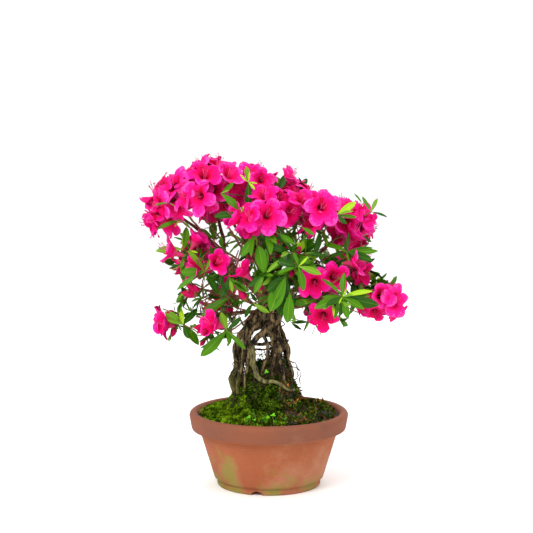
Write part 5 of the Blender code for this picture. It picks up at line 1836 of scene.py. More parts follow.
# %% The main roots
ROOT_SEAT = 0.0018
ROOT_WANDER = 0.0014
ROOT_STEPS = 8
ROOT_KNOTS = (0.90, 1.14)
SHOULDER_REACH = 0.42
STEEPER_FALL = 0.44                # living roots fall steeper than the solids
ANKLE_HEIGHT = 2.5
ROOT_SEED = 714
Root = namedtuple("Root", "name rise knee_heading knee_reach knee_height foot_heading foot_reach top end")
ROOTS = (
    Root("outer_left", 0.192, 182, 0.034, 0.166, 185, 0.0405, 0.0046, 0.0030),
    Root("inner_left", 0.188, 204, 0.029, 0.166, 210, 0.0350, 0.0032, 0.0022),
    Root("front", 0.186, 238, 0.027, 0.166, 243, 0.0270, 0.0036, 0.0028),
    Root("middle", 0.182, 268, 0.019, 0.157, 250, 0.0220, 0.0026, 0.0020),
    Root("fine_middle", 0.180, 293, 0.021, 0.155, 284, 0.0240, 0.0020, 0.0015),
    Root("inner_right", 0.182, 318, 0.022, 0.158, 316, 0.0270, 0.0027, 0.0018),
    Root("outer_right", 0.192, 351, 0.0215, 0.163, 350, 0.0255, 0.0034, 0.0023),
    Root("thick_right", 0.184, 22, 0.0150, 0.162, 20, 0.0275, 0.0034, 0.0026),
    Root("back_right", 0.186, 58, 0.022, 0.158, 56, 0.0300, 0.0028, 0.0019),
    Root("back", 0.184, 98, 0.021, 0.156, 92, 0.0290, 0.0024, 0.0018),
    Root("back_left", 0.188, 132, 0.025, 0.160, 128, 0.0320, 0.0030, 0.0020),
    Root("side_left", 0.190, 160, 0.028, 0.164, 158, 0.0350, 0.0032, 0.0021),
    Root("heart", 0.180, 20, 0.005, 0.157, 330, 0.0060, 0.0026, 0.0018),
    Root("inner_back", 0.180, 140, 0.012, 0.155, 150, 0.0160, 0.0022, 0.0016),
)
MOUND = (
    (0.079, 0.0795),
    (0.068, 0.0835),
    (0.056, 0.0890),
    (0.046, 0.0965),
    (0.038, 0.1050),
    (0.030, 0.1140),
    (0.021, 0.1220),
    (0.012, 0.1260),
    (0.000, 0.1270),
)


# How much more moss is heaped at each distance from the middle, inside the cage of roots.
HEAPED = ((0.000, 0.0125), (0.014, 0.0115), (0.022, 0.0065), (0.030, 0.0))


def mound_height(reach):
    for (outer, low), (inner, high) in zip(MOUND, MOUND[1:]):
        if reach >= inner:
            share = (reach - inner) / (outer - inner)
            return high + (low - high) * share
    return MOUND[-1][1]


def heap_height(reach):
    """The ground with the moss that is heaped inside the cage of roots."""
    for (inner, high), (outer, low) in zip(HEAPED, HEAPED[1:]):
        if reach <= outer:
            share = (reach - inner) / (outer - inner)
            return mound_height(reach) + high + (low - high) * share
    return mound_height(reach)


def root_line(root, rng):
    knee = polar(root.knee_heading, root.knee_reach, root.knee_height)
    start = trunk_axis(root.rise)
    shoulder = start.lerp(knee, SHOULDER_REACH)
    shoulder.z = root.rise - (root.rise - root.knee_height) * STEEPER_FALL
    ground = mound_height(root.foot_reach)
    foot = [polar(root.foot_heading, root.foot_reach, ground - ROOT_SEAT)]
    ankle = foot[0] + Vector((0, 0, ROOT_SEAT + root.end * ANKLE_HEIGHT))
    line = smooth_line([start, shoulder, knee, ankle], ROOT_STEPS)
    return wander(line, ROOT_WANDER, rng) + foot


def root_radii(root, line, rng):
    """Thick at the head, thinner at the foot, with small knots."""
    last = len(line) - 1
    radii = [(root.top + (root.end - root.top) * index / last) * rng.uniform(*ROOT_KNOTS)
             for index in range(last + 1)]
    radii[-1] = root.end
    return radii


# %% Winding roots
WINDING = 1.1 * MM                 # how far a main root winds off its solid's line
WAVE = 17 * MM                     # from one bend to the next
ROOT_REFINED = 6
HEAD_SEED = 6014


def winding(line, amount, wave, rng):
    """A line that winds off its course, but not at its ends."""
    phases = [rng.uniform(0, math.tau) for _ in range(4)]
    length = sum((b - a).length for a, b in zip(line, line[1:]))
    turns = length / wave * math.tau
    wound = []
    for index, place in enumerate(line):
        share = index / (len(line) - 1)
        hold = amount * min(1.0, 6 * share, 6 * (1 - share))
        stray = Vector((math.sin(turns * share + phases[0]) + 0.5 * math.sin(2.3 * turns * share + phases[1]),
                        math.sin(turns * share + phases[2]) + 0.5 * math.sin(1.9 * turns * share + phases[3]),
                        0.3 * math.sin(1.4 * turns * share + phases[1])))
        wound.append(place + stray * hold)
    return wound


def knotted(first, last, count, rng, swell=0.18):
    """Radii from first to last with slow swellings."""
    phase = rng.uniform(0, math.tau)
    beats = rng.uniform(2.5, 4.5)
    return [radius * (1 + swell * math.sin(phase + beats * math.tau * index / count))
            for index, radius in enumerate(tapered(first, last, count))]


rng = random.Random(HEAD_SEED)
TRAINED = {                        # roots whose course the grower set: a radius ends each place
    "outer_left": ((-6, 4, 199, 4.2), (-13.4, 3, 194.8, 4.2), (-21.4, 1, 186.8, 3.8),
        (-27.1, -1, 176.5, 3.5), (-33.4, -3, 168, 3.3), (-36.8, -3.5, 159.4, 3.5),
        (-38, -3.8, 150.3, 3.3), (-36.2, -3.6, 141.7, 3.0), (-37.4, -3.5, 130.8, 3.4),
        (-42, -3.4, 119.3, 4.2), (-38.5, -3.4, 106.7, 3.0), (-38.5, -3.4, 101, 2.6)),
    "inner_left": (seen_finely(265, 308, -4, 3.2), seen_finely(260, 314, -9, 3.2),
        seen_finely(252, 322, -12, 3.0), seen_finely(246.5, 332, -14, 2.8),
        seen_finely(243.5, 345, -15, 2.5), seen_finely(243.5, 358, -15, 2.3),
        seen_finely(241, 370, -15, 2.2), seen_finely(238, 382, -15, 2.4),
        seen_finely(238, 392, -15, 2.0, up=-2.4)),
    "front": ((-18.4, -22.4, 163.0, 2.6), (-18.7, -24.0, 158.5, 3.6), (-18.4, -25.0, 153.0, 3.1),
        (-18.0, -26.2, 147.0, 3.4), (-17.6, -27.0, 141.0, 2.9),
        seen_finely(254.2, 366, -27.6, 3.2, up=-1), seen_finely(256, 372, -28, 2.7),
        seen_finely(258.6, 377.5, -28.4, 2.9), seen_finely(263, 381.3, -29.2, 2.3),
        seen_finely(268.8, 381.5, -29.6, 2.4), seen_finely(274.6, 381.6, -29.2, 1.8, up=-0.1),
        seen_finely(280, 384.2, -28.8, 2.0, up=-0.1), seen_finely(285, 387.6, -27.8, 1.5, up=-0.1),
        seen_finely(290.2, 390.2, -25.6, 1.5, up=-0.2),
        seen_finely(294.4, 389.6, -19.5, 1.2, up=-0.4)),
    "middle": (seen_finely(268, 318, -10, 2.2), seen_finely(264, 328, -14, 2.3),
        seen_finely(265, 338, -17, 2.1), seen_finely(268, 347, -18, 2.2),
        seen_finely(267, 358, -19, 1.9), seen_finely(263, 368, -20, 1.9),
        seen_finely(260, 377, -20, 1.6, up=-0.5)),
    "fine_middle": (seen_finely(272, 322, -10, 1.8), seen_finely(270, 332, -15, 1.7),
        seen_finely(272, 342, -18, 1.6), seen_finely(275.5, 350, -20, 1.8),
        seen_finely(274.5, 360, -21, 1.4), seen_finely(272, 370, -22, 1.3),
        seen_finely(272, 380, -23, 1.1, up=-1.6)),
    "inner_right": (seen_finely(276, 318, -8, 2.6), seen_finely(277, 328, -12, 2.4),
        seen_finely(280, 338, -15, 2.3), seen_finely(281.5, 348, -17, 2.2),
        seen_finely(280, 358, -18, 1.9), seen_finely(282, 368, -18, 1.9),
        seen_finely(284, 380, -18, 1.6, up=-0.7)),
    "outer_right": (seen_finely(278, 314, -2, 3.2, right=-2),
        seen_finely(281, 322, -3, 3.0, right=-3.1), seen_finely(284.5, 331, -4, 2.8, right=-4),
        seen_finely(288, 342, -5, 2.8, right=-2.7), seen_finely(289.5, 352, -5, 2.6, right=-1.3),
        seen_finely(288.5, 362, -5, 2.4, right=-1), seen_finely(287, 372, -5, 2.3, right=-0.5),
        seen_finely(287, 386, -5, 2.1, up=3.7)),
    "back": ((3, 4, 188, 3.0), (8, 12, 177, 2.8), (8.5, 17, 160, 2.4), (3, 21, 140, 2.2),
        (0, 25, 118, 1.9)),
    "back_left": ((-8, 6, 190, 3.2), (-21, 12, 176, 3.0), (-25, 17, 158, 2.6),
        (-22, 21, 138, 2.2), (-23, 25, 110, 2.0)),
    "inner_back": ((3, 5, 180, 1.8), (7, 8, 170, 1.6), (7.5, 10, 156, 1.4), (1, 12, 142, 1.3),
        (-9, 13, 128, 1.2), (-11, 14, 118, 1.1)),
    "heart": ((3, 0, 178, 1.9), (7, 2, 168, 1.7), (6.5, 3, 156, 1.5), (1.5, 3, 144, 1.4),
        (3, 0, 120, 1.2)),
}
EXTRA_ROOTS = {                    # more that wrap the head and tie the cage, the same way
    "saddle": (seen_finely(283, 312, -6, 3.4, right=-3), seen_finely(279, 318, -12, 4.0),
        seen_finely(271, 325, -16, 4.2), seen_finely(263, 332, -19, 3.8),
        seen_finely(256, 339, -22, 3.4), seen_finely(252, 346, -24, 3.0)),
    "left_cord": (seen_finely(262, 316, -6, 2.6), seen_finely(257, 324, -14, 2.8),
        seen_finely(250, 334, -19, 2.6), seen_finely(247.5, 345, -21, 2.4),
        seen_finely(249, 356, -21, 2.0), seen_finely(247, 368, -21, 1.8),
        seen_finely(245, 382, -20, 1.6), (-27, -20, 112, 1.6)),
    "bar": (seen_finely(246, 341, -12, 2.0, up=-2), seen_finely(258, 342, -8, 1.9, up=-2.4),
        seen_finely(270, 341, -8, 2.0, up=-3.4), seen_finely(283, 343, -6, 1.8, up=-1)),
    "thin_bar": (seen_finely(249, 347, -6, 1.2, up=-2), seen_finely(262, 348, -4, 1.2, up=-1.7),
        seen_finely(276, 347, -4, 1.1, up=-2)),
    "window_right": (seen_finely(268, 331, -15, 1.9), seen_finely(275, 337, -17, 2.2),
        seen_finely(279, 346, -17, 2.0), seen_finely(277, 356, -17, 1.6),
        seen_finely(279, 368, -17, 1.4), (10, -17, 124, 1.3)),
    "burl": (seen_finely(262, 313, -9, 3.0, right=-1, up=0.9),
        seen_finely(269, 315, -16, 4.8, up=-0.8), seen_finely(276, 316, -16.5, 6.2, up=-1.2),
        seen_finely(282, 312, -9, 3.4, right=-2.1, up=-0.2)),
    "scarf": (seen_finely(283, 306, -4, 2.4, right=-2.7), seen_finely(278, 310, -11, 2.8, up=1),
        seen_finely(268, 311, -13, 2.6, up=2), seen_finely(259, 315, -10, 2.4, up=1),
        seen_finely(250, 325, -10, 2.2), seen_finely(242, 337, -9, 2.0)),
    "back_left_cord": (seen_finely(258, 318, 8, 2.4), seen_finely(247, 332, 12, 2.6),
        seen_finely(240, 348, 12, 2.2), seen_finely(237, 365, 12, 1.9), (-37.5, 12, 108, 1.7)),
}


def course(knots):
    """A trained root's line and radii, in metres."""
    return [Vector(knot[:3]) * MM for knot in knots], [knot[3] * MM for knot in knots]


RADIUS_BLEND = 4                   # a root's thickness is evened over this many points each way
TRAINED_WINDING = 0.4              # a trained root winds this share as much as a free one
main_roots = []
for index, root in enumerate(ROOTS):
    trained = root.name in TRAINED
    if trained:
        line, radii = course(TRAINED[root.name])
    else:
        own = random.Random(ROOT_SEED + index)
        line = root_line(root, own)
        radii = root_radii(root, line, own)
    fine = smooth_line(line, (len(line) - 1) * ROOT_REFINED)
    wide = [radii[min(int(step / ROOT_REFINED), len(radii) - 1)] for step in range(len(fine))]
    spans = [wide[max(0, i - RADIUS_BLEND):i + RADIUS_BLEND + 1] for i in range(len(wide))]
    wide = [sum(span) / len(span) for span in spans]
    main_roots.append((winding(fine, WINDING * (TRAINED_WINDING if trained else 1.0), WAVE, rng), wide))

CAGE_WINDOWS = (                   # openings that the grower keeps: x from, to, z from, to, in mm
    (-17, -7, 175, 184), (-12, 4, 162, 171), (-14, -3, 155, 159), (-14, -4, 140, 153),
)


def in_cage_window(place):
    x, z = seen_at(place)
    return any(low_x * MM < x < high_x * MM and low_z * MM < z < high_z * MM
               for low_x, high_x, low_z, high_z in CAGE_WINDOWS)


SECOND_ROOTS = 11                  # thinner roots between the main ones
SECOND_RADII = ((1.1 * MM, 2.2 * MM), (0.7 * MM, 1.2 * MM))
second_roots = []
for index in range(SECOND_ROOTS):
    heading = 360 * index / SECOND_ROOTS + rng.uniform(-9, 9)
    swing = rng.uniform(-55, 55)
    left_side = 0.5 - 0.5 * math.cos(math.radians(heading))
    reach = rng.uniform(0.009, 0.0185) + 0.011 * left_side
    foot_reach = rng.uniform(0.010, 0.021) + 0.012 * left_side
    start = trunk_axis(rng.uniform(0.174, 0.192))
    knee = polar(heading + swing / 2, reach, rng.uniform(0.148, 0.162))
    foot = polar(heading + swing, foot_reach, mound_height(foot_reach) - ROOT_SEAT)
    shoulder = start.lerp(knee, 0.45)
    line = smooth_line([start, shoulder, knee, foot], 44)
    radii = knotted(rng.uniform(*SECOND_RADII[0]), rng.uniform(*SECOND_RADII[1]), 45, rng)
    line = winding(line, 2.2 * MM, 13 * MM, rng)
    if not any(in_cage_window(place) for place in line):
        second_roots.append((line, radii))

CROSS_ROOTS = (                    # short ones that tie the cage together, ends in mm
    ((22, 4, 163), (6, 16, 152), 1.8), ((-30, 6, 150), (-18, 20, 160), 1.7),
)
for knots in EXTRA_ROOTS.values():
    line, radii = course(knots)
    line = smooth_line(line, (len(line) - 1) * ROOT_REFINED)
    radii = [radius.x for radius in smooth_line([Vector((r, 0, 0)) for r in radii], len(line) - 1)]
    second_roots.append((winding(line, WINDING * 0.5, WAVE, rng), radii))
for start, finish, girth in CROSS_ROOTS:
    ends = [Vector(start) * MM, Vector(finish) * MM]
    middle = ends[0].lerp(ends[1], 0.5) + Vector((0, -2, 3)) * MM
    line = smooth_line([ends[0], middle, ends[1]], 24)
    second_roots.append((winding(line, 1.2 * MM, 14 * MM, rng),
                         knotted(girth * MM, girth * 0.8 * MM, 25, rng)))

WRAPS = 3                          # short roots that wrap the head like cords
wraps = []
for index in range(WRAPS):
    rise = 0.177 + 0.022 * index / (WRAPS - 1)
    heading = rng.uniform(0, 360)
    arc = rng.uniform(130, 250)
    slope = rng.uniform(-0.012, 0.012)
    line = []
    for step in range(25):
        share = step / 24
        girth = 0.0128 - 0.0035 * math.sin(math.pi * (1 - min(1, (rise - 0.170) / 0.04)))
        height = rise + slope * (share - 0.5)
        sunk = 1.6 * MM * (1 - math.sin(math.pi * share))
        line.append(polar(heading + arc * share, girth - sunk, height) + trunk_axis(height)
                    - Vector((0, 0, height)))
    wraps.append((winding(line, 0.7 * MM, 14 * MM, rng), knotted(1.9 * MM, 1.3 * MM, 25, rng)))
head = smooth_line([trunk_axis(height) for height, _ in HEAD], 20)
head_radii = [radius.x for radius in smooth_line([Vector((r, 0, 0)) for _, r in HEAD], 20)]
print(f"{len(main_roots)} main roots, {len(second_roots)} between them, {WRAPS} round the head")

# %% The fused root column
ROOT_VOXEL = 0.75 * MM
FURROW = 2.2 * MM                  # furrows are this far apart
FURROW_DEPTH = 1.2 * MM


def fused_wood(name, limbs, voxel, sides):
    """Tubes along lines, melted into one closed wood by a voxel remesh."""
    loose = grown(line_object(name + "_lines", limbs), name + "_loose", wood_tree(weathered_bark),
                  Sides=sides, Relief=1.2 * MM, Grain=7 * MM)
    melt = loose.modifiers.new("melt", "REMESH")
    melt.mode = "VOXEL"
    melt.voxel_size = voxel
    melt.use_smooth_shade = True
    soften = loose.modifiers.new("soften", "SMOOTH")
    soften.factor = 0.5
    soften.iterations = 2
    return loose


def furrow_tree(material):
    tree, inputs = new_tree("bark_furrows", Depth=FURROW_DEPTH, Furrow=FURROW)
    moved = add_relief(tree, inputs["Geometry"], inputs["Depth"], inputs["Furrow"], 0.28)
    smooth = add(tree, "GeometryNodeSetShadeSmooth", {"Geometry": moved})
    finished = add(tree, "GeometryNodeSetMaterial",
                   {"Geometry": smooth.outputs["Geometry"], "Material": material})
    close_tree(tree, finished.outputs["Geometry"])
    return tree


front_index = [root.name for root in ROOTS].index("front")
plain_roots = main_roots[:front_index] + main_roots[front_index + 1:]
column = fused_wood("root_column", [(head, head_radii), *plain_roots, *second_roots, *wraps],
                    ROOT_VOXEL, 10)
column = grown(column, "root_column", furrow_tree(weathered_bark), Depth=FURROW_DEPTH,
               Furrow=FURROW)
settle(column, "bark", "trunk")
algae_bark, tree, shader = new_finish("algae_grey_root_bark", "#6A6840", 0.88,
                                      Specular_IOR_Level=0.25)
where = add(tree, "ShaderNodeTexCoord").outputs["Object"]
along = add(tree, "ShaderNodeMapping", {"Vector": where, "Scale": (1.0, 1.0, 0.35)})
pores = add(tree, "ShaderNodeTexNoise", {"Vector": along.outputs[0], "Scale": 0.5 / BARK_CRACK,
                                         "Detail": 6.0, "Roughness": 0.7})
pore_share = add(tree, "ShaderNodeMapRange", {"Value": pores.outputs[0], "From Min": 0.36,
                                              "From Max": 0.60})
front_colour = blended(tree, pore_share.outputs[0], linear("#12100A"), linear("#827C4C"))
tree.links.new(front_colour, shader.inputs["Base Color"])
roughened(tree, shader, pores.outputs[0], 0.7 * MM, 1.0)
front_root = grown(line_object("front_root_line", [main_roots[front_index]]), "front_root",
                   wood_tree(algae_bark), Sides=20, Relief=1.7 * MM, Grain=3.4 * MM)
settle(front_root, "bark", "trunk")

# %% Wiry roots
WIRY_ROOTS = 160
LOOSE_WIRES = (                    # the wires that loop out of the cage at the right, in mm
    ((22, -8, 142), (29, -9, 139), (35, -9, 128), (35, -10, 108)),
    ((23, -10, 136), (31, -12, 134), (33, -12, 126), (27, -12, 119)),
    ((20, -14, 132), (27, -16, 124), (25, -16, 117), (19, -15, 118)),
    ((10, -12, 190), (17, -12, 184), (13, -13, 178), (19, -10, 168), (20, -7, 162)),
)


def window_wire(depth, *knots):
    return tuple(seen_finely(across, down, depth) for across, down in knots)


WINDOW_WIRES = (                   # the fine ones that cross the lowest opening of the cage
    window_wire(-4, (253, 349), (258, 352.5), (262.5, 357.5), (266, 362)),
    window_wire(2, (267.5, 351), (262.5, 353.5), (258, 357), (255, 362)),
    window_wire(-8, (260, 347.5), (261.5, 353), (259.5, 357), (260.5, 361)),
    window_wire(4, (255, 353.5), (259.5, 355), (264, 354.5), (267.5, 356.5)),
)
wiry = []
for knots in LOOSE_WIRES:
    line = smooth_line([Vector(knot) * MM for knot in knots], 30)
    wiry.append((winding(line, 0.8 * MM, 12 * MM, rng), knotted(0.7 * MM, 0.5 * MM, 31, rng)))
for knots in WINDOW_WIRES:
    line = smooth_line([Vector(knot) * MM for knot in knots], 16)
    wiry.append((winding(line, 0.6 * MM, 8 * MM, rng), knotted(0.45 * MM, 0.3 * MM, 17, rng)))
for index in range(WIRY_ROOTS):
    line, _ = rng.choice(main_roots + second_roots)
    start = point_on(line, rng.uniform(0.30, 0.85))
    heading = math.degrees(math.atan2(start.y, start.x)) + rng.uniform(-70, 70)
    reach = min(0.040, max(0.006, start.xy.length + rng.uniform(-0.010, 0.010)))
    across = rng.random() < 0.35
    if across:
        other, _ = rng.choice(main_roots)
        finish = point_on(other, rng.uniform(0.45, 0.75))
    else:
        finish = polar(heading, reach, heap_height(reach) + 0.8 * MM)
    middle = start.lerp(finish, 0.5)
    middle += Vector((rng.uniform(-1, 1), rng.uniform(-1, 1), rng.uniform(-0.8, 0.4))) * 5 * MM
    length = (start - finish).length
    count = max(10, int(length / (1.6 * MM)))
    girth = rng.uniform(0.35, 0.85) * MM
    knots = [start, middle, finish]
    if not across:
        further = reach + rng.uniform(0.002, 0.012)
        knots.append(polar(heading + rng.uniform(-30, 30), further,
                           heap_height(further) + rng.uniform(-1.5, 0.5) * MM))
    line = winding(smooth_line(knots, count), 1.6 * MM, 11 * MM, rng)
    radii = knotted(girth, girth * 0.7, count + 1, rng)
    if sum(in_cage_window(place) for place in line) < 2:
        wiry.append((line, radii))
hair_bark, tree, shader = new_finish("dark_root_hair", "#4A3624", 0.9, Specular_IOR_Level=0.2)
where = add(tree, "ShaderNodeTexCoord").outputs["Object"]
grime = add(tree, "ShaderNodeTexNoise", {"Vector": where, "Scale": 120.0, "Detail": 3.0})
hair_colour = blended(tree, grime.outputs[0], linear("#0E0A05"), linear("#584630"))
tree.links.new(hair_colour, shader.inputs["Base Color"])
wiry_piece = grown(line_object("wiry_lines", wiry), "wiry_roots", wood_tree(hair_bark),
                   Sides=6, Relief=0.2 * MM, Grain=2.0 * MM)
settle(wiry_piece, "bark")

# %% [markdown]
# ## Terracotta
# The pot is thrown earthenware, fired unglazed. The clay is a warm orange, freckled with grog,
# and its turning lines still ring the wall. Years of watering have drawn lime out in pale
# clouds, and algae have greened the damp foot. The rim was dipped or burned darker. The profile
# is the solid's own, turned by a Screw modifier with far more sides.

# %% The pot's profile
RIM_RADIUS = 0.090
RIM_TAPER = 0.0025                # how much narrower the rim is at its lower edge
RIM_HEIGHT = 0.020
RIM_THICKNESS = 0.010
POT_HEIGHT = 0.084
BODY_TOP_RADIUS = 0.078
BODY_FOOT_RADIUS = 0.0620
WALL = 0.008
FOOT_HEIGHT = 0.006
FOOT_RADIUS = 0.0585
FOOT_INNER_RADIUS = 0.0465
FOOT_RECESS = 0.004
FLOOR_HEIGHT = 0.011
FLOOR_BEVEL = 0.006               # where the wall runs into the floor
DRAIN_RADIUS = 0.008
NOTCH_HEADINGS = (257, 17, 137)   # three air notches in the foot ring
NOTCH_RADIUS = 0.0075
NOTCH_SINK = 0.0030               # how far below the ground each notch's centre lies
NOTCH_LENGTH = 0.030
EDGE_STEP = 0.001
SOIL_EDGE_GAP = 0.0006
POT_TURNS = 128
RIM_ARC_FINE = 14


def arc(centre_x, centre_z, radius, start, end, steps):
    """Profile points round an arc, with angles in degrees from +X."""
    points = []
    for step in range(steps + 1):
        angle = math.radians(start + (end - start) * step / steps)
        points.append((centre_x + radius * math.cos(angle), centre_z + radius * math.sin(angle)))
    return points


def stretched(profile, longest):
    """The closed profile with its long runs divided, so that relief has points to move."""
    fine = []
    for (x0, z0), (x1, z1) in zip(profile, profile[1:] + profile[:1]):
        parts = max(1, math.ceil(math.hypot(x1 - x0, z1 - z0) / longest))
        fine += [(x0 + (x1 - x0) * i / parts, z0 + (z1 - z0) * i / parts) for i in range(parts)]
    return fine


def inner_wall():
    """The inside of the pot, from the rim down to the floor."""
    return [
        (RIM_RADIUS - RIM_THICKNESS, POT_HEIGHT - RIM_THICKNESS / 2),
        (BODY_TOP_RADIUS - WALL, POT_HEIGHT - RIM_HEIGHT - 2 * EDGE_STEP),
        (BODY_FOOT_RADIUS - WALL, FLOOR_HEIGHT + FLOOR_BEVEL),
        (BODY_FOOT_RADIUS - WALL - FLOOR_BEVEL, FLOOR_HEIGHT),
    ]


def pot_profile():
    round_rim = arc(RIM_RADIUS - RIM_THICKNESS / 2, POT_HEIGHT - RIM_THICKNESS / 2,
                    RIM_THICKNESS / 2, 180, 0, RIM_ARC_FINE)
    under_rim = POT_HEIGHT - RIM_HEIGHT
    outside = [
        (RIM_RADIUS - RIM_TAPER, under_rim + 1.6 * EDGE_STEP),
        (RIM_RADIUS - RIM_TAPER - 0.5 * EDGE_STEP, under_rim + 0.4 * EDGE_STEP),
        (RIM_RADIUS - RIM_TAPER - 1.5 * EDGE_STEP, under_rim),
        (BODY_TOP_RADIUS + 2 * EDGE_STEP, under_rim - 0.2 * EDGE_STEP),
        (BODY_TOP_RADIUS + 0.3 * EDGE_STEP, under_rim - 1.2 * EDGE_STEP),
        (BODY_TOP_RADIUS, under_rim - 3 * EDGE_STEP),
        (BODY_FOOT_RADIUS, FOOT_HEIGHT + 3 * EDGE_STEP),
        (FOOT_RADIUS, FOOT_HEIGHT + EDGE_STEP),
        (FOOT_RADIUS + EDGE_STEP / 2, FOOT_HEIGHT),
        (FOOT_RADIUS, 0.6 * EDGE_STEP),
        (FOOT_RADIUS - 0.6 * EDGE_STEP, 0.0),
    ]
    underside = [
        (FOOT_INNER_RADIUS, 0.0),
        (FOOT_INNER_RADIUS - 2 * EDGE_STEP, FOOT_RECESS),
        (DRAIN_RADIUS, FOOT_RECESS),
        (DRAIN_RADIUS, FLOOR_HEIGHT),
    ]
    inside = list(reversed(inner_wall()))[:-1]
    return stretched(round_rim[1:] + outside + underside + inside + round_rim[:1], 2.5 * MM)


# %% Turning the pot
def turned(name, profile, steps):
    """A turned shape: its profile in the XZ plane with a Screw modifier, applied."""
    mesh = bpy.data.meshes.new(name)
    closed = profile[0][0] > 0
    count = len(profile)
    edges = [(i, (i + 1) % count) for i in range(count if closed else count - 1)]
    mesh.from_pydata([(x, 0, z) for x, z in profile], edges, [])
    piece = new_piece(name, mesh)
    screw = piece.modifiers.new("turn", "SCREW")
    screw.steps = steps
    screw.render_steps = steps
    screw.use_merge_vertices = True
    screw.merge_threshold = 0.01 * MM
    return applied(piece)


def applied(piece):
    """The piece with its modifiers worked into its mesh, and its faces turned outwards."""
    graph = bpy.context.evaluated_depsgraph_get()
    mesh = bpy.data.meshes.new_from_object(piece.evaluated_get(graph), depsgraph=graph)
    piece.modifiers.clear()
    piece.data = mesh
    shape = bmesh.new()
    shape.from_mesh(mesh)
    bmesh.ops.remove_doubles(shape, verts=shape.verts, dist=0.01 * MM)
    bmesh.ops.recalc_face_normals(shape, faces=shape.faces)
    shape.to_mesh(mesh)
    shape.free()
    mesh.shade_smooth()
    return piece


# %% The terracotta finish
terracotta, tree, shader = new_finish("thrown_terracotta", "#C06C46", 0.86)
where = add(tree, "ShaderNodeTexCoord").outputs["Object"]
parts_of = add(tree, "ShaderNodeSeparateXYZ", {"Vector": where})
clouds = add(tree, "ShaderNodeTexNoise", {"Vector": where, "Scale": 26.0, "Detail": 5.0,
                                          "Roughness": 0.6})
clay = blended(tree, clouds.outputs[0], linear("#8C4624"), linear("#AC6038"))
grog = add(tree, "ShaderNodeTexNoise", {"Vector": where, "Scale": 900.0, "Detail": 2.0})
grog_share = add(tree, "ShaderNodeMapRange", {"Value": grog.outputs[0], "From Min": 0.58,
                                              "From Max": 0.72, "To Max": 0.55})
clay = blended(tree, grog_share.outputs[0], clay, linear("#7E3A22"))
lime_noise = add(tree, "ShaderNodeTexNoise", {"Vector": where, "Scale": 15.0, "Detail": 6.0,
                                              "Roughness": 0.68})
low_wall = add(tree, "ShaderNodeMapRange", {"Value": parts_of.outputs["Z"], "From Min": 0.060,
                                            "From Max": 0.020, "To Min": 0.02, "To Max": 0.16})
lime_sum = add(tree, "ShaderNodeMath", {0: lime_noise.outputs[0], 1: low_wall.outputs[0]})
lime_share = add(tree, "ShaderNodeMapRange", {"Value": lime_sum.outputs[0], "From Min": 0.60,
                                              "From Max": 0.86, "To Max": 0.42})
clay = blended(tree, lime_share.outputs[0], clay, linear("#C29A7A"))
algae_noise = add(tree, "ShaderNodeTexNoise", {"Vector": where, "Scale": 34.0, "Detail": 5.0})
algae_low = add(tree, "ShaderNodeMapRange", {"Value": parts_of.outputs["Z"], "From Min": 0.050,
                                             "From Max": 0.004, "To Min": -0.16, "To Max": 0.14})
algae_round = add(tree, "ShaderNodeMapRange", {"Value": parts_of.outputs["X"], "From Min": 0.030,
                                               "From Max": -0.045, "To Min": -0.09, "To Max": 0.02})
algae_sum = add(tree, "ShaderNodeMath", {0: algae_noise.outputs[0], 1: algae_low.outputs[0]})
algae_sum = add(tree, "ShaderNodeMath", {0: algae_sum.outputs[0], 1: algae_round.outputs[0]})
algae_share = add(tree, "ShaderNodeMapRange", {"Value": algae_sum.outputs[0], "From Min": 0.50,
                                               "From Max": 0.66, "To Max": 0.75})
clay = blended(tree, algae_share.outputs[0], clay, linear("#7E7E2C"))
rim_share = add(tree, "ShaderNodeMapRange", {"Value": parts_of.outputs["Z"], "From Min": 0.0625,
                                             "From Max": 0.0655, "To Max": 0.62})
rim_worn = add(tree, "ShaderNodeMath", {0: rim_share.outputs[0], 1: clouds.outputs[0]},
               operation="MULTIPLY")
rim_worn = add(tree, "ShaderNodeMath", {0: rim_worn.outputs[0], 1: 1.7}, operation="MULTIPLY")
clay = blended(tree, rim_worn.outputs[0], clay, linear("#603C30"))
tree.links.new(clay, shader.inputs["Base Color"])
turning = add(tree, "ShaderNodeTexWave", {"Vector": where, "Scale": 110.0, "Distortion": 1.6,
                                          "Detail": 2.0}, bands_direction="Z")
turning_low = add(tree, "ShaderNodeMath", {0: turning.outputs[1], 1: 0.35}, operation="MULTIPLY")
rough_height = add(tree, "ShaderNodeMath", {0: turning_low.outputs[0], 1: grog.outputs[0]})
roughened(tree, shader, rough_height.outputs[0], 0.35 * MM, 0.7)

# %% The finished pot
CLAY_RELIEF = 0.5 * MM
pot = turned("terracotta_pot", pot_profile(), POT_TURNS)
for heading in NOTCH_HEADINGS:
    shape = bmesh.new()
    bmesh.ops.create_cone(shape, cap_ends=True, segments=32, radius1=NOTCH_RADIUS,
                          radius2=NOTCH_RADIUS, depth=NOTCH_LENGTH)
    place = polar(heading, (FOOT_RADIUS + FOOT_INNER_RADIUS) / 2, -NOTCH_SINK)
    bmesh.ops.transform(shape, matrix=aimed(place, polar(heading, 1, 0)), verts=shape.verts)
    mesh = bpy.data.meshes.new("notch")
    shape.to_mesh(mesh)
    shape.free()
    notch = new_piece("notch", mesh)
    cut = pot.modifiers.new("cut", "BOOLEAN")
    cut.operation = "DIFFERENCE"
    cut.object = notch
    pot = applied(pot)
    bpy.data.objects.remove(notch)


def clay_tree():
    tree, inputs = new_tree("thrown_clay", Relief=CLAY_RELIEF, Wave=0.030)
    moved = add_relief(tree, inputs["Geometry"], inputs["Relief"], inputs["Wave"], 2.0)
    finished = add(tree, "GeometryNodeSetMaterial", {"Geometry": moved, "Material": terracotta})
    close_tree(tree, finished.outputs["Geometry"])
    return tree


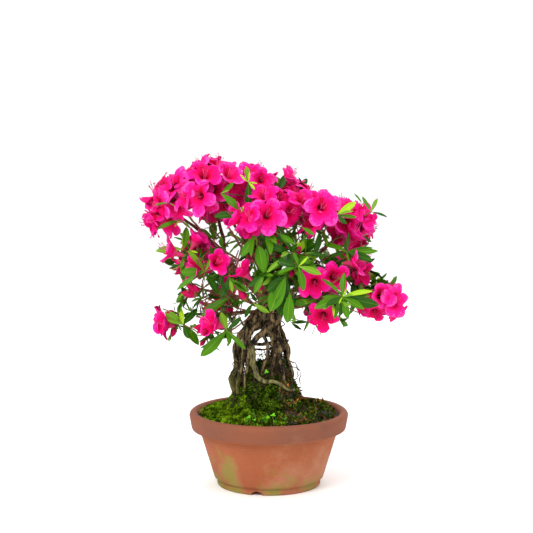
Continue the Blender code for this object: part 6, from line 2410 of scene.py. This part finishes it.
pot.data.materials.clear()
pot = grown(pot, "terracotta_pot", clay_tree(), Relief=CLAY_RELIEF)
settle(pot, "terracotta", "pot")

# %% [markdown]
# ## The mound
# The soil is heaped round the roots and held by moss. Seen from the front, the left is a
# cushion of bright young moss, the top is darker, clover-like seedlings stand at the front, and
# the right is bare dark soil with fallen leaves and grit. The ground is one turned sheet with
# relief; on it, tufts, seedlings, leaves and grit are scattered by Geometry Nodes. Each scatter
# reads its own density from the ground's points, so every growth has its own place.

# %% The ground
GROUND_SEED = 7014
GROUND_SIDES = 160
BANK_HEIGHT = 0.0060
RIGHT_DROP = 0.0060                # the root ball is steeper at the right
BANK_FOOT = 0.045
ground_soil, tree, shader = new_finish("peaty_soil", "#2E2318", 0.95)
where = add(tree, "ShaderNodeTexCoord").outputs["Object"]
crumbs = add(tree, "ShaderNodeTexNoise", {"Vector": where, "Scale": 480.0, "Detail": 4.0})
soil_colour = blended(tree, crumbs.outputs[0], linear("#0E0A05"), linear("#46341F"))
films = add(tree, "ShaderNodeTexNoise", {"Vector": where, "Scale": 60.0, "Detail": 4.0})
film_share = add(tree, "ShaderNodeMapRange", {"Value": films.outputs[0], "From Min": 0.46,
                                              "From Max": 0.60})
soil_colour = blended(tree, film_share.outputs[0], soil_colour, linear("#1A280A"))
tree.links.new(soil_colour, shader.inputs["Base Color"])
roughened(tree, shader, crumbs.outputs[0], 1.2 * MM, 1.0)


FLANK = ((0.030, 0.0), (0.044, -0.0045), (0.056, -0.0040), (0.072, 0.0))


def flank_drop(reach):
    """How much lower the mound's flank lies than the solid's, for a steeper root ball."""
    for (inner, near), (outer, far) in zip(FLANK, FLANK[1:]):
        if inner <= reach <= outer:
            return near + (far - near) * (reach - inner) / (outer - inner)
    return 0.0


def ground_profile():
    """The mound from its middle to the wall, in steps of about 2 mm, and down the wall."""
    knots = [Vector((reach, heap_height(reach) + flank_drop(reach), 0))
             for reach, _ in reversed(MOUND)]
    surface = [(max(0.0, p.x), p.y) for p in smooth_line(knots, 44)]
    surface[0] = (0.0, surface[0][1])
    wall = [(x - SOIL_EDGE_GAP, z) for x, z in inner_wall()[1:]]
    base = [(wall[-1][0], FLOOR_HEIGHT + 0.3 * MM), (0.0, FLOOR_HEIGHT + 0.3 * MM)]
    return surface + wall[:-1] + base


def ground_tree():
    tree, inputs = new_tree("heaped_ground", Relief=3.0 * MM, Lump=12 * MM)
    moved = add_relief(tree, inputs["Geometry"], inputs["Relief"], inputs["Lump"], 1.0)
    smooth = add(tree, "GeometryNodeSetShadeSmooth", {"Geometry": moved})
    finished = add(tree, "GeometryNodeSetMaterial",
                   {"Geometry": smooth.outputs["Geometry"], "Material": ground_soil})
    close_tree(tree, finished.outputs["Geometry"])
    return tree


def patchy(x, y, size, seed):
    """A smooth value from about -1 to 1 that changes over size."""
    total = 0.0
    rng = random.Random(seed)
    for _ in range(4):
        angle = rng.uniform(0, math.tau)
        wave = math.tau / (size * rng.uniform(0.7, 1.5))
        total += math.sin((x * math.cos(angle) + y * math.sin(angle)) * wave + rng.uniform(0, 6))
    return total / 2.4


ground_piece = turned("mound", ground_profile(), GROUND_SIDES)
for vertex in ground_piece.data.vertices:        # the bank of litter at the right of the pot
    reach = vertex.co.xy.length
    if vertex.co.z > FLOOR_HEIGHT + BANK_FOOT:
        bank = eased(vertex.co.x, 0.040, 0.054) * (1.0 - eased(reach, 0.066, 0.0745))
        steep = eased(vertex.co.x, 0.024, 0.036) * (1.0 - eased(reach, 0.046, 0.058))
        rough = 0.8 + 0.2 * patchy(*vertex.co.xy, 0.018, GROUND_SEED)
        vertex.co.z += BANK_HEIGHT * bank * rough - RIGHT_DROP * steep
ground_piece = grown(ground_piece, "mound", ground_tree(), Relief=6.0 * MM, Lump=7 * MM)
settle(ground_piece, "moss", "moss_mound")


# %% Where each growth stands
def moss_share(place):
    """1 in the moss at the left and on the mound, 0 on the bare soil at the right."""
    edge = 0.012 + 0.008 * patchy(place.x, place.y, 0.03, GROUND_SEED)
    return eased(edge - place.x + 0.35 * max(0.0, place.y), -0.010, 0.010)


def bright_share(place):
    """Young moss lies on the flat ground by the rim, at the left."""
    flat = eased(-place.z, -0.106, -0.092)
    left = eased(-place.x, 0.008, 0.036)
    spots = eased(patchy(place.x, place.y, 0.022, GROUND_SEED + 1), -0.7, 0.2)
    patches = 0.35 + 0.65 * eased(patchy(place.x, place.y, 0.013, GROUND_SEED + 4), -0.8, 0.4)
    return moss_share(place) * flat * max(left, 0.35 * spots) * patches


def dark_share(place):
    hollows = 0.15 + 0.85 * eased(patchy(place.x, place.y, 0.011, GROUND_SEED + 5), -0.8, 0.4)
    shaded = 1.0 - 0.45 * eased(place.z, 0.110, 0.120)
    mossy = max(0.20, moss_share(place)) * (1.0 - 0.7 * bright_share(place))
    return mossy * hollows * shaded


def seedling_share(place):
    front = eased(-place.y, 0.052, 0.062)
    middle = eased(0.026 - abs(place.x + 0.004), 0.0, 0.008)
    in_cage = 0.5 * eased(-place.xy.length, -0.022, -0.016)
    weeds = front * middle * eased(patchy(place.x, place.y, 0.014, GROUND_SEED + 2), -0.2, 0.6)
    return max(weeds, in_cage)


def litter_share(place):
    bare = 1.0 - moss_share(place) + 0.4 * eased(-place.x, 0.045, 0.062)
    return bare * eased(patchy(place.x, place.y, 0.020, GROUND_SEED + 3), -0.8, 0.3)


def grit_share(place):
    return (0.10 + 0.90 * (1.0 - moss_share(place))) * eased(-place.z, -0.118, -0.100)


def mark_ground(piece, **shares):
    """Writes each growth's share on the ground's points, and none below its surface."""
    mesh = piece.data
    lowest = MOUND[0][1] - 2.5 * MM
    for name, share_at in shares.items():
        values = []
        for vertex in mesh.vertices:
            inside = vertex.co.xy.length < 0.0765 and vertex.co.z > lowest
            values.append(share_at(vertex.co) if inside else 0.0)
        mesh.attributes.new(name, "FLOAT", "POINT").data.foreach_set("value", values)
    print(f"{len(shares)} shares on {len(mesh.vertices)} points")


mark_ground(ground_piece, bright=bright_share, dark=dark_share, seedlings=seedling_share,
            litter=litter_share, grit=grit_share)


# %% The tree that scatters
def scatter_tree(share, shapes, finishes):
    """Shapes strewn over a surface as its share says, upright on it and turned at random."""
    tree, inputs = new_tree("scatter_by_share", Density=1.0e6, Seed=1, Kinds=1, Least=0.7,
                            Most=1.3, Lean=0.3)
    wanted = add(tree, "ShaderNodeMath",
                 {0: named(tree, share, "FLOAT"), 1: inputs["Density"]}, operation="MULTIPLY")
    spread = add(tree, "GeometryNodeDistributePointsOnFaces",
                 {"Mesh": inputs["Geometry"], "Density": wanted.outputs[0],
                  "Seed": inputs["Seed"]})
    kind = add(tree, "FunctionNodeRandomValue", {4: 0, 5: inputs["Kinds"], 8: inputs["Seed"]},
               data_type="INT")
    size = add(tree, "FunctionNodeRandomValue",
               {2: inputs["Least"], 3: inputs["Most"], 8: inputs["Seed"]}, data_type="FLOAT")
    lean_low = add(tree, "ShaderNodeMath", {0: inputs["Lean"], 1: -1.0}, operation="MULTIPLY")
    low = add(tree, "ShaderNodeCombineXYZ",
              {"X": lean_low.outputs[0], "Y": lean_low.outputs[0], "Z": 0.0})
    high = add(tree, "ShaderNodeCombineXYZ",
               {"X": inputs["Lean"], "Y": inputs["Lean"], "Z": math.tau})
    lean = add(tree, "FunctionNodeRandomValue",
               {0: low.outputs[0], 1: high.outputs[0], 8: inputs["Seed"]},
               data_type="FLOAT_VECTOR")
    spin = add(tree, "FunctionNodeEulerToRotation", {"Euler": lean.outputs[0]})
    turn = add(tree, "FunctionNodeRotateRotation",
               {"Rotation": spread.outputs["Rotation"], "Rotate By": spin.outputs[0]},
               rotation_space="LOCAL")
    placed = add(tree, "GeometryNodeInstanceOnPoints",
                 {"Points": spread.outputs["Points"], "Instance": shapes_of(tree, shapes),
                  "Pick Instance": True, "Instance Index": kind.outputs[2],
                  "Rotation": turn.outputs[0], "Scale": size.outputs[1]})
    close_tree(tree, finished_by_number(tree, placed.outputs[0], finishes))
    return tree


def scattered(name, share, meshes, finishes, **sizes):
    """Runs a scatter on a copy of the ground and keeps what it strews."""
    shapes = small_shapes(name + "_shape", meshes)
    base = new_piece(name + "_base", ground_piece.data.copy())
    piece = grown(base, name, scatter_tree(share, shapes, finishes), Kinds=len(meshes) - 1, **sizes)
    for shape in list(shapes.objects):
        bpy.data.objects.remove(shape)
    bpy.data.collections.remove(shapes)
    settle(piece, "moss", "moss_mound")
    return piece


# %% Moss
TUFT_BLADES = 7
MOSS_DEPTH = 2.4 * MM
MOSS_CUSHION = 4.5 * MM            # moss grows in cushions, with painted shade between them and painted light on their crests
PAINTED_HOLLOW_SHADE = 0.35
PAINTED_CREST_LIGHT = 1.55


def tuft_mesh(name, blades, height, spread, seed):
    """A tuft of moss: narrow blades, each two triangles, that splay from one foot."""
    rng = random.Random(seed)
    sheet = Sheet()
    for blade in range(blades):
        turn = math.tau * blade / blades + rng.uniform(-0.4, 0.4)
        out = Vector((math.cos(turn), math.sin(turn), 0))
        side = Vector((-out.y, out.x, 0)) * height * 0.17
        tall = height * rng.uniform(0.7, 1.1)
        lean = spread * rng.uniform(0.4, 1.0)
        foot = out * height * 0.08 - Vector((0, 0, 0.5 * MM))
        bend = foot + out * lean * 0.45 * height + Vector((0, 0, tall * 0.65))
        tip = foot + out * lean * height + Vector((0, 0, tall))
        first = len(sheet.points)
        sheet.points += [foot, bend - side, bend + side, tip]
        sheet.faces += [(first, first + 2, first + 1), (first + 1, first + 2, first + 3)]
        sheet.numbers += [(blade + seed) % 3] * 2
    return sheet.mesh(name)


def moss_finish(name, colour):
    """Moss leaves: matt, with hardly any gloss. The colour has painted shade between random cushions and painted light
    on their crests.
    """
    material, tree, shader = new_finish(name, colour, 0.95, Specular_IOR_Level=0.05)
    where = add(tree, "ShaderNodeTexCoord").outputs["Object"]
    cells = add(tree, "ShaderNodeTexNoise", {"Vector": where, "Scale": 1500.0})
    cushions = add(tree, "ShaderNodeTexNoise",
                   {"Vector": where, "Scale": 0.5 / MOSS_CUSHION, "Detail": 3.0})
    share = add(tree, "ShaderNodeMapRange", {"Value": cushions.outputs[0], "From Min": 0.42,
                                             "From Max": 0.60})
    full = linear(colour)
    # The colour darkens to painted shade between the cushions and lightens to painted light on their crests; bright
    # here is that painted light.
    painted_shade_colour = tuple(part * PAINTED_HOLLOW_SHADE for part in full[:3]) + (1.0,)
    bright = tuple(min(1.0, part * PAINTED_CREST_LIGHT) for part in full[:3]) + (1.0,)
    tree.links.new(blended(tree, share.outputs[0], painted_shade_colour, bright), shader.inputs["Base Color"])
    roughened(tree, shader, cells.outputs[0], 0.1 * MM, 0.5)
    return material


tufts = [tuft_mesh(f"tuft_{i}", TUFT_BLADES, MOSS_DEPTH, 0.8, GROUND_SEED + i) for i in range(4)]
scattered("bright_moss", "bright", tufts,
          [moss_finish("bright_moss", "#3C6806"), moss_finish("pale_moss", "#84981C"),
           moss_finish("fresh_moss", "#6C980C")],
          Density=0.85e6, Seed=11, Least=0.5, Most=1.8, Lean=0.7)
scattered("dark_moss", "dark", tufts,
          [moss_finish("dark_moss", "#142604"), moss_finish("olive_moss", "#627618"),
           moss_finish("damp_moss", "#3A600A")],
          Density=0.60e6, Seed=12, Least=0.5, Most=1.9, Lean=0.7)

# %% [markdown]
# ## Seedlings, fallen leaves and grit
# Small weeds of three round leaflets stand at the front of the mound. On the bare side lie
# curled brown leaves and pale grit. Each is a few dozen faces at most.

# %% Seedlings, litter and grit
STALK, LEAFLET = range(2)


def seedling_mesh(name, height, seed):
    rng = random.Random(seed)
    sheet = Sheet()
    top = Vector((rng.uniform(-1, 1) * 1.5 * MM, rng.uniform(-1, 1) * 1.5 * MM, height))
    sheet.tube(smooth_line([Vector((0, 0, -0.5 * MM)), top * 0.5, top], 3),
               [0.22 * MM] * 4, 3, STALK)
    for leaflet in range(3):
        turn = math.tau * leaflet / 3 + rng.uniform(-0.3, 0.3)
        out = Vector((math.cos(turn), math.sin(turn), rng.uniform(-0.1, 0.35)))
        side = Vector((-math.sin(turn), math.cos(turn), 0))
        long = rng.uniform(2.0, 3.2) * MM
        rim = []
        for step in range(7):
            angle = math.pi * 2 * step / 7
            rim.append(top + out * long * (0.5 + 0.5 * math.cos(angle))
                       + side * long * 0.42 * math.sin(angle))
        sheet.fan(rim, top + out * long * 0.5 - Vector((0, 0, 0.3 * MM)), LEAFLET)
    return sheet.mesh(name)


def fallen_mesh(name, curl, seed):
    """A dry leaf, cupped and curled as it dried, lying on its back or its face."""
    rng = random.Random(seed)
    length = rng.uniform(8, 15) * MM
    rows = []
    for along, half in LEAF_OUTLINE[::2]:
        rows.append([Vector(((along - 0.5) * length, side * half * length * 0.9,
                             length * (curl * (2 * along - 1) ** 2
                                       + 0.25 * abs(side) * half)) ) + Vector((0, 0, 0.6 * MM))
                     for side in (-1, 0, 1)])
    sheet = Sheet()
    sheet.grid(rows, lambda r, c: seed % 2)
    return sheet.mesh(name)


def stone_mesh(name, radius, seed):
    rng = random.Random(seed)
    shape = bmesh.new()
    bmesh.ops.create_icosphere(shape, subdivisions=1, radius=radius)
    for vertex in shape.verts:
        vertex.co *= rng.uniform(0.75, 1.2)
        vertex.co.z *= 0.7
    mesh = bpy.data.meshes.new(name)
    shape.to_mesh(mesh)
    shape.free()
    mesh.attributes.new("finish", "INT", "FACE").data.foreach_set(
        "value", [seed % 2] * len(mesh.polygons))
    return mesh


scattered("seedlings", "seedlings",
          [seedling_mesh(f"seedling_{i}", h * MM, GROUND_SEED + i) for i, h in enumerate((5, 7, 9))],
          [moss_finish("seedling_stalk", "#7C9440"), moss_finish("seedling_leaf", "#5CA61E")],
          Density=0.42e5, Seed=13, Least=0.9, Most=1.6, Lean=0.35)
scattered("fallen_leaves", "litter",
          [fallen_mesh(f"fallen_{i}", 0.05 + 0.07 * i, GROUND_SEED + i) for i in range(4)],
          [moss_finish("dry_leaf", "#A66028"), moss_finish("old_dry_leaf", "#6E4826")],
          Density=4.2e4, Seed=14, Least=0.35, Most=1.05, Lean=0.7)
scattered("grit", "grit",
          [stone_mesh(f"stone_{i}", 1.1 * MM, GROUND_SEED + i) for i in range(4)],
          [moss_finish("pale_grit", "#77684A"), moss_finish("brown_grit", "#3C2E1E")],
          Density=2.0e4, Seed=15, Least=0.5, Most=1.9, Lean=0.6)

# %% Sizes for the record
with open("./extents.json", "w") as sizes:
    json.dump({"cad": cad_bounds, "visual": [list(corner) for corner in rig.bounds()]}, sizes)
print(open("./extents.json").read())
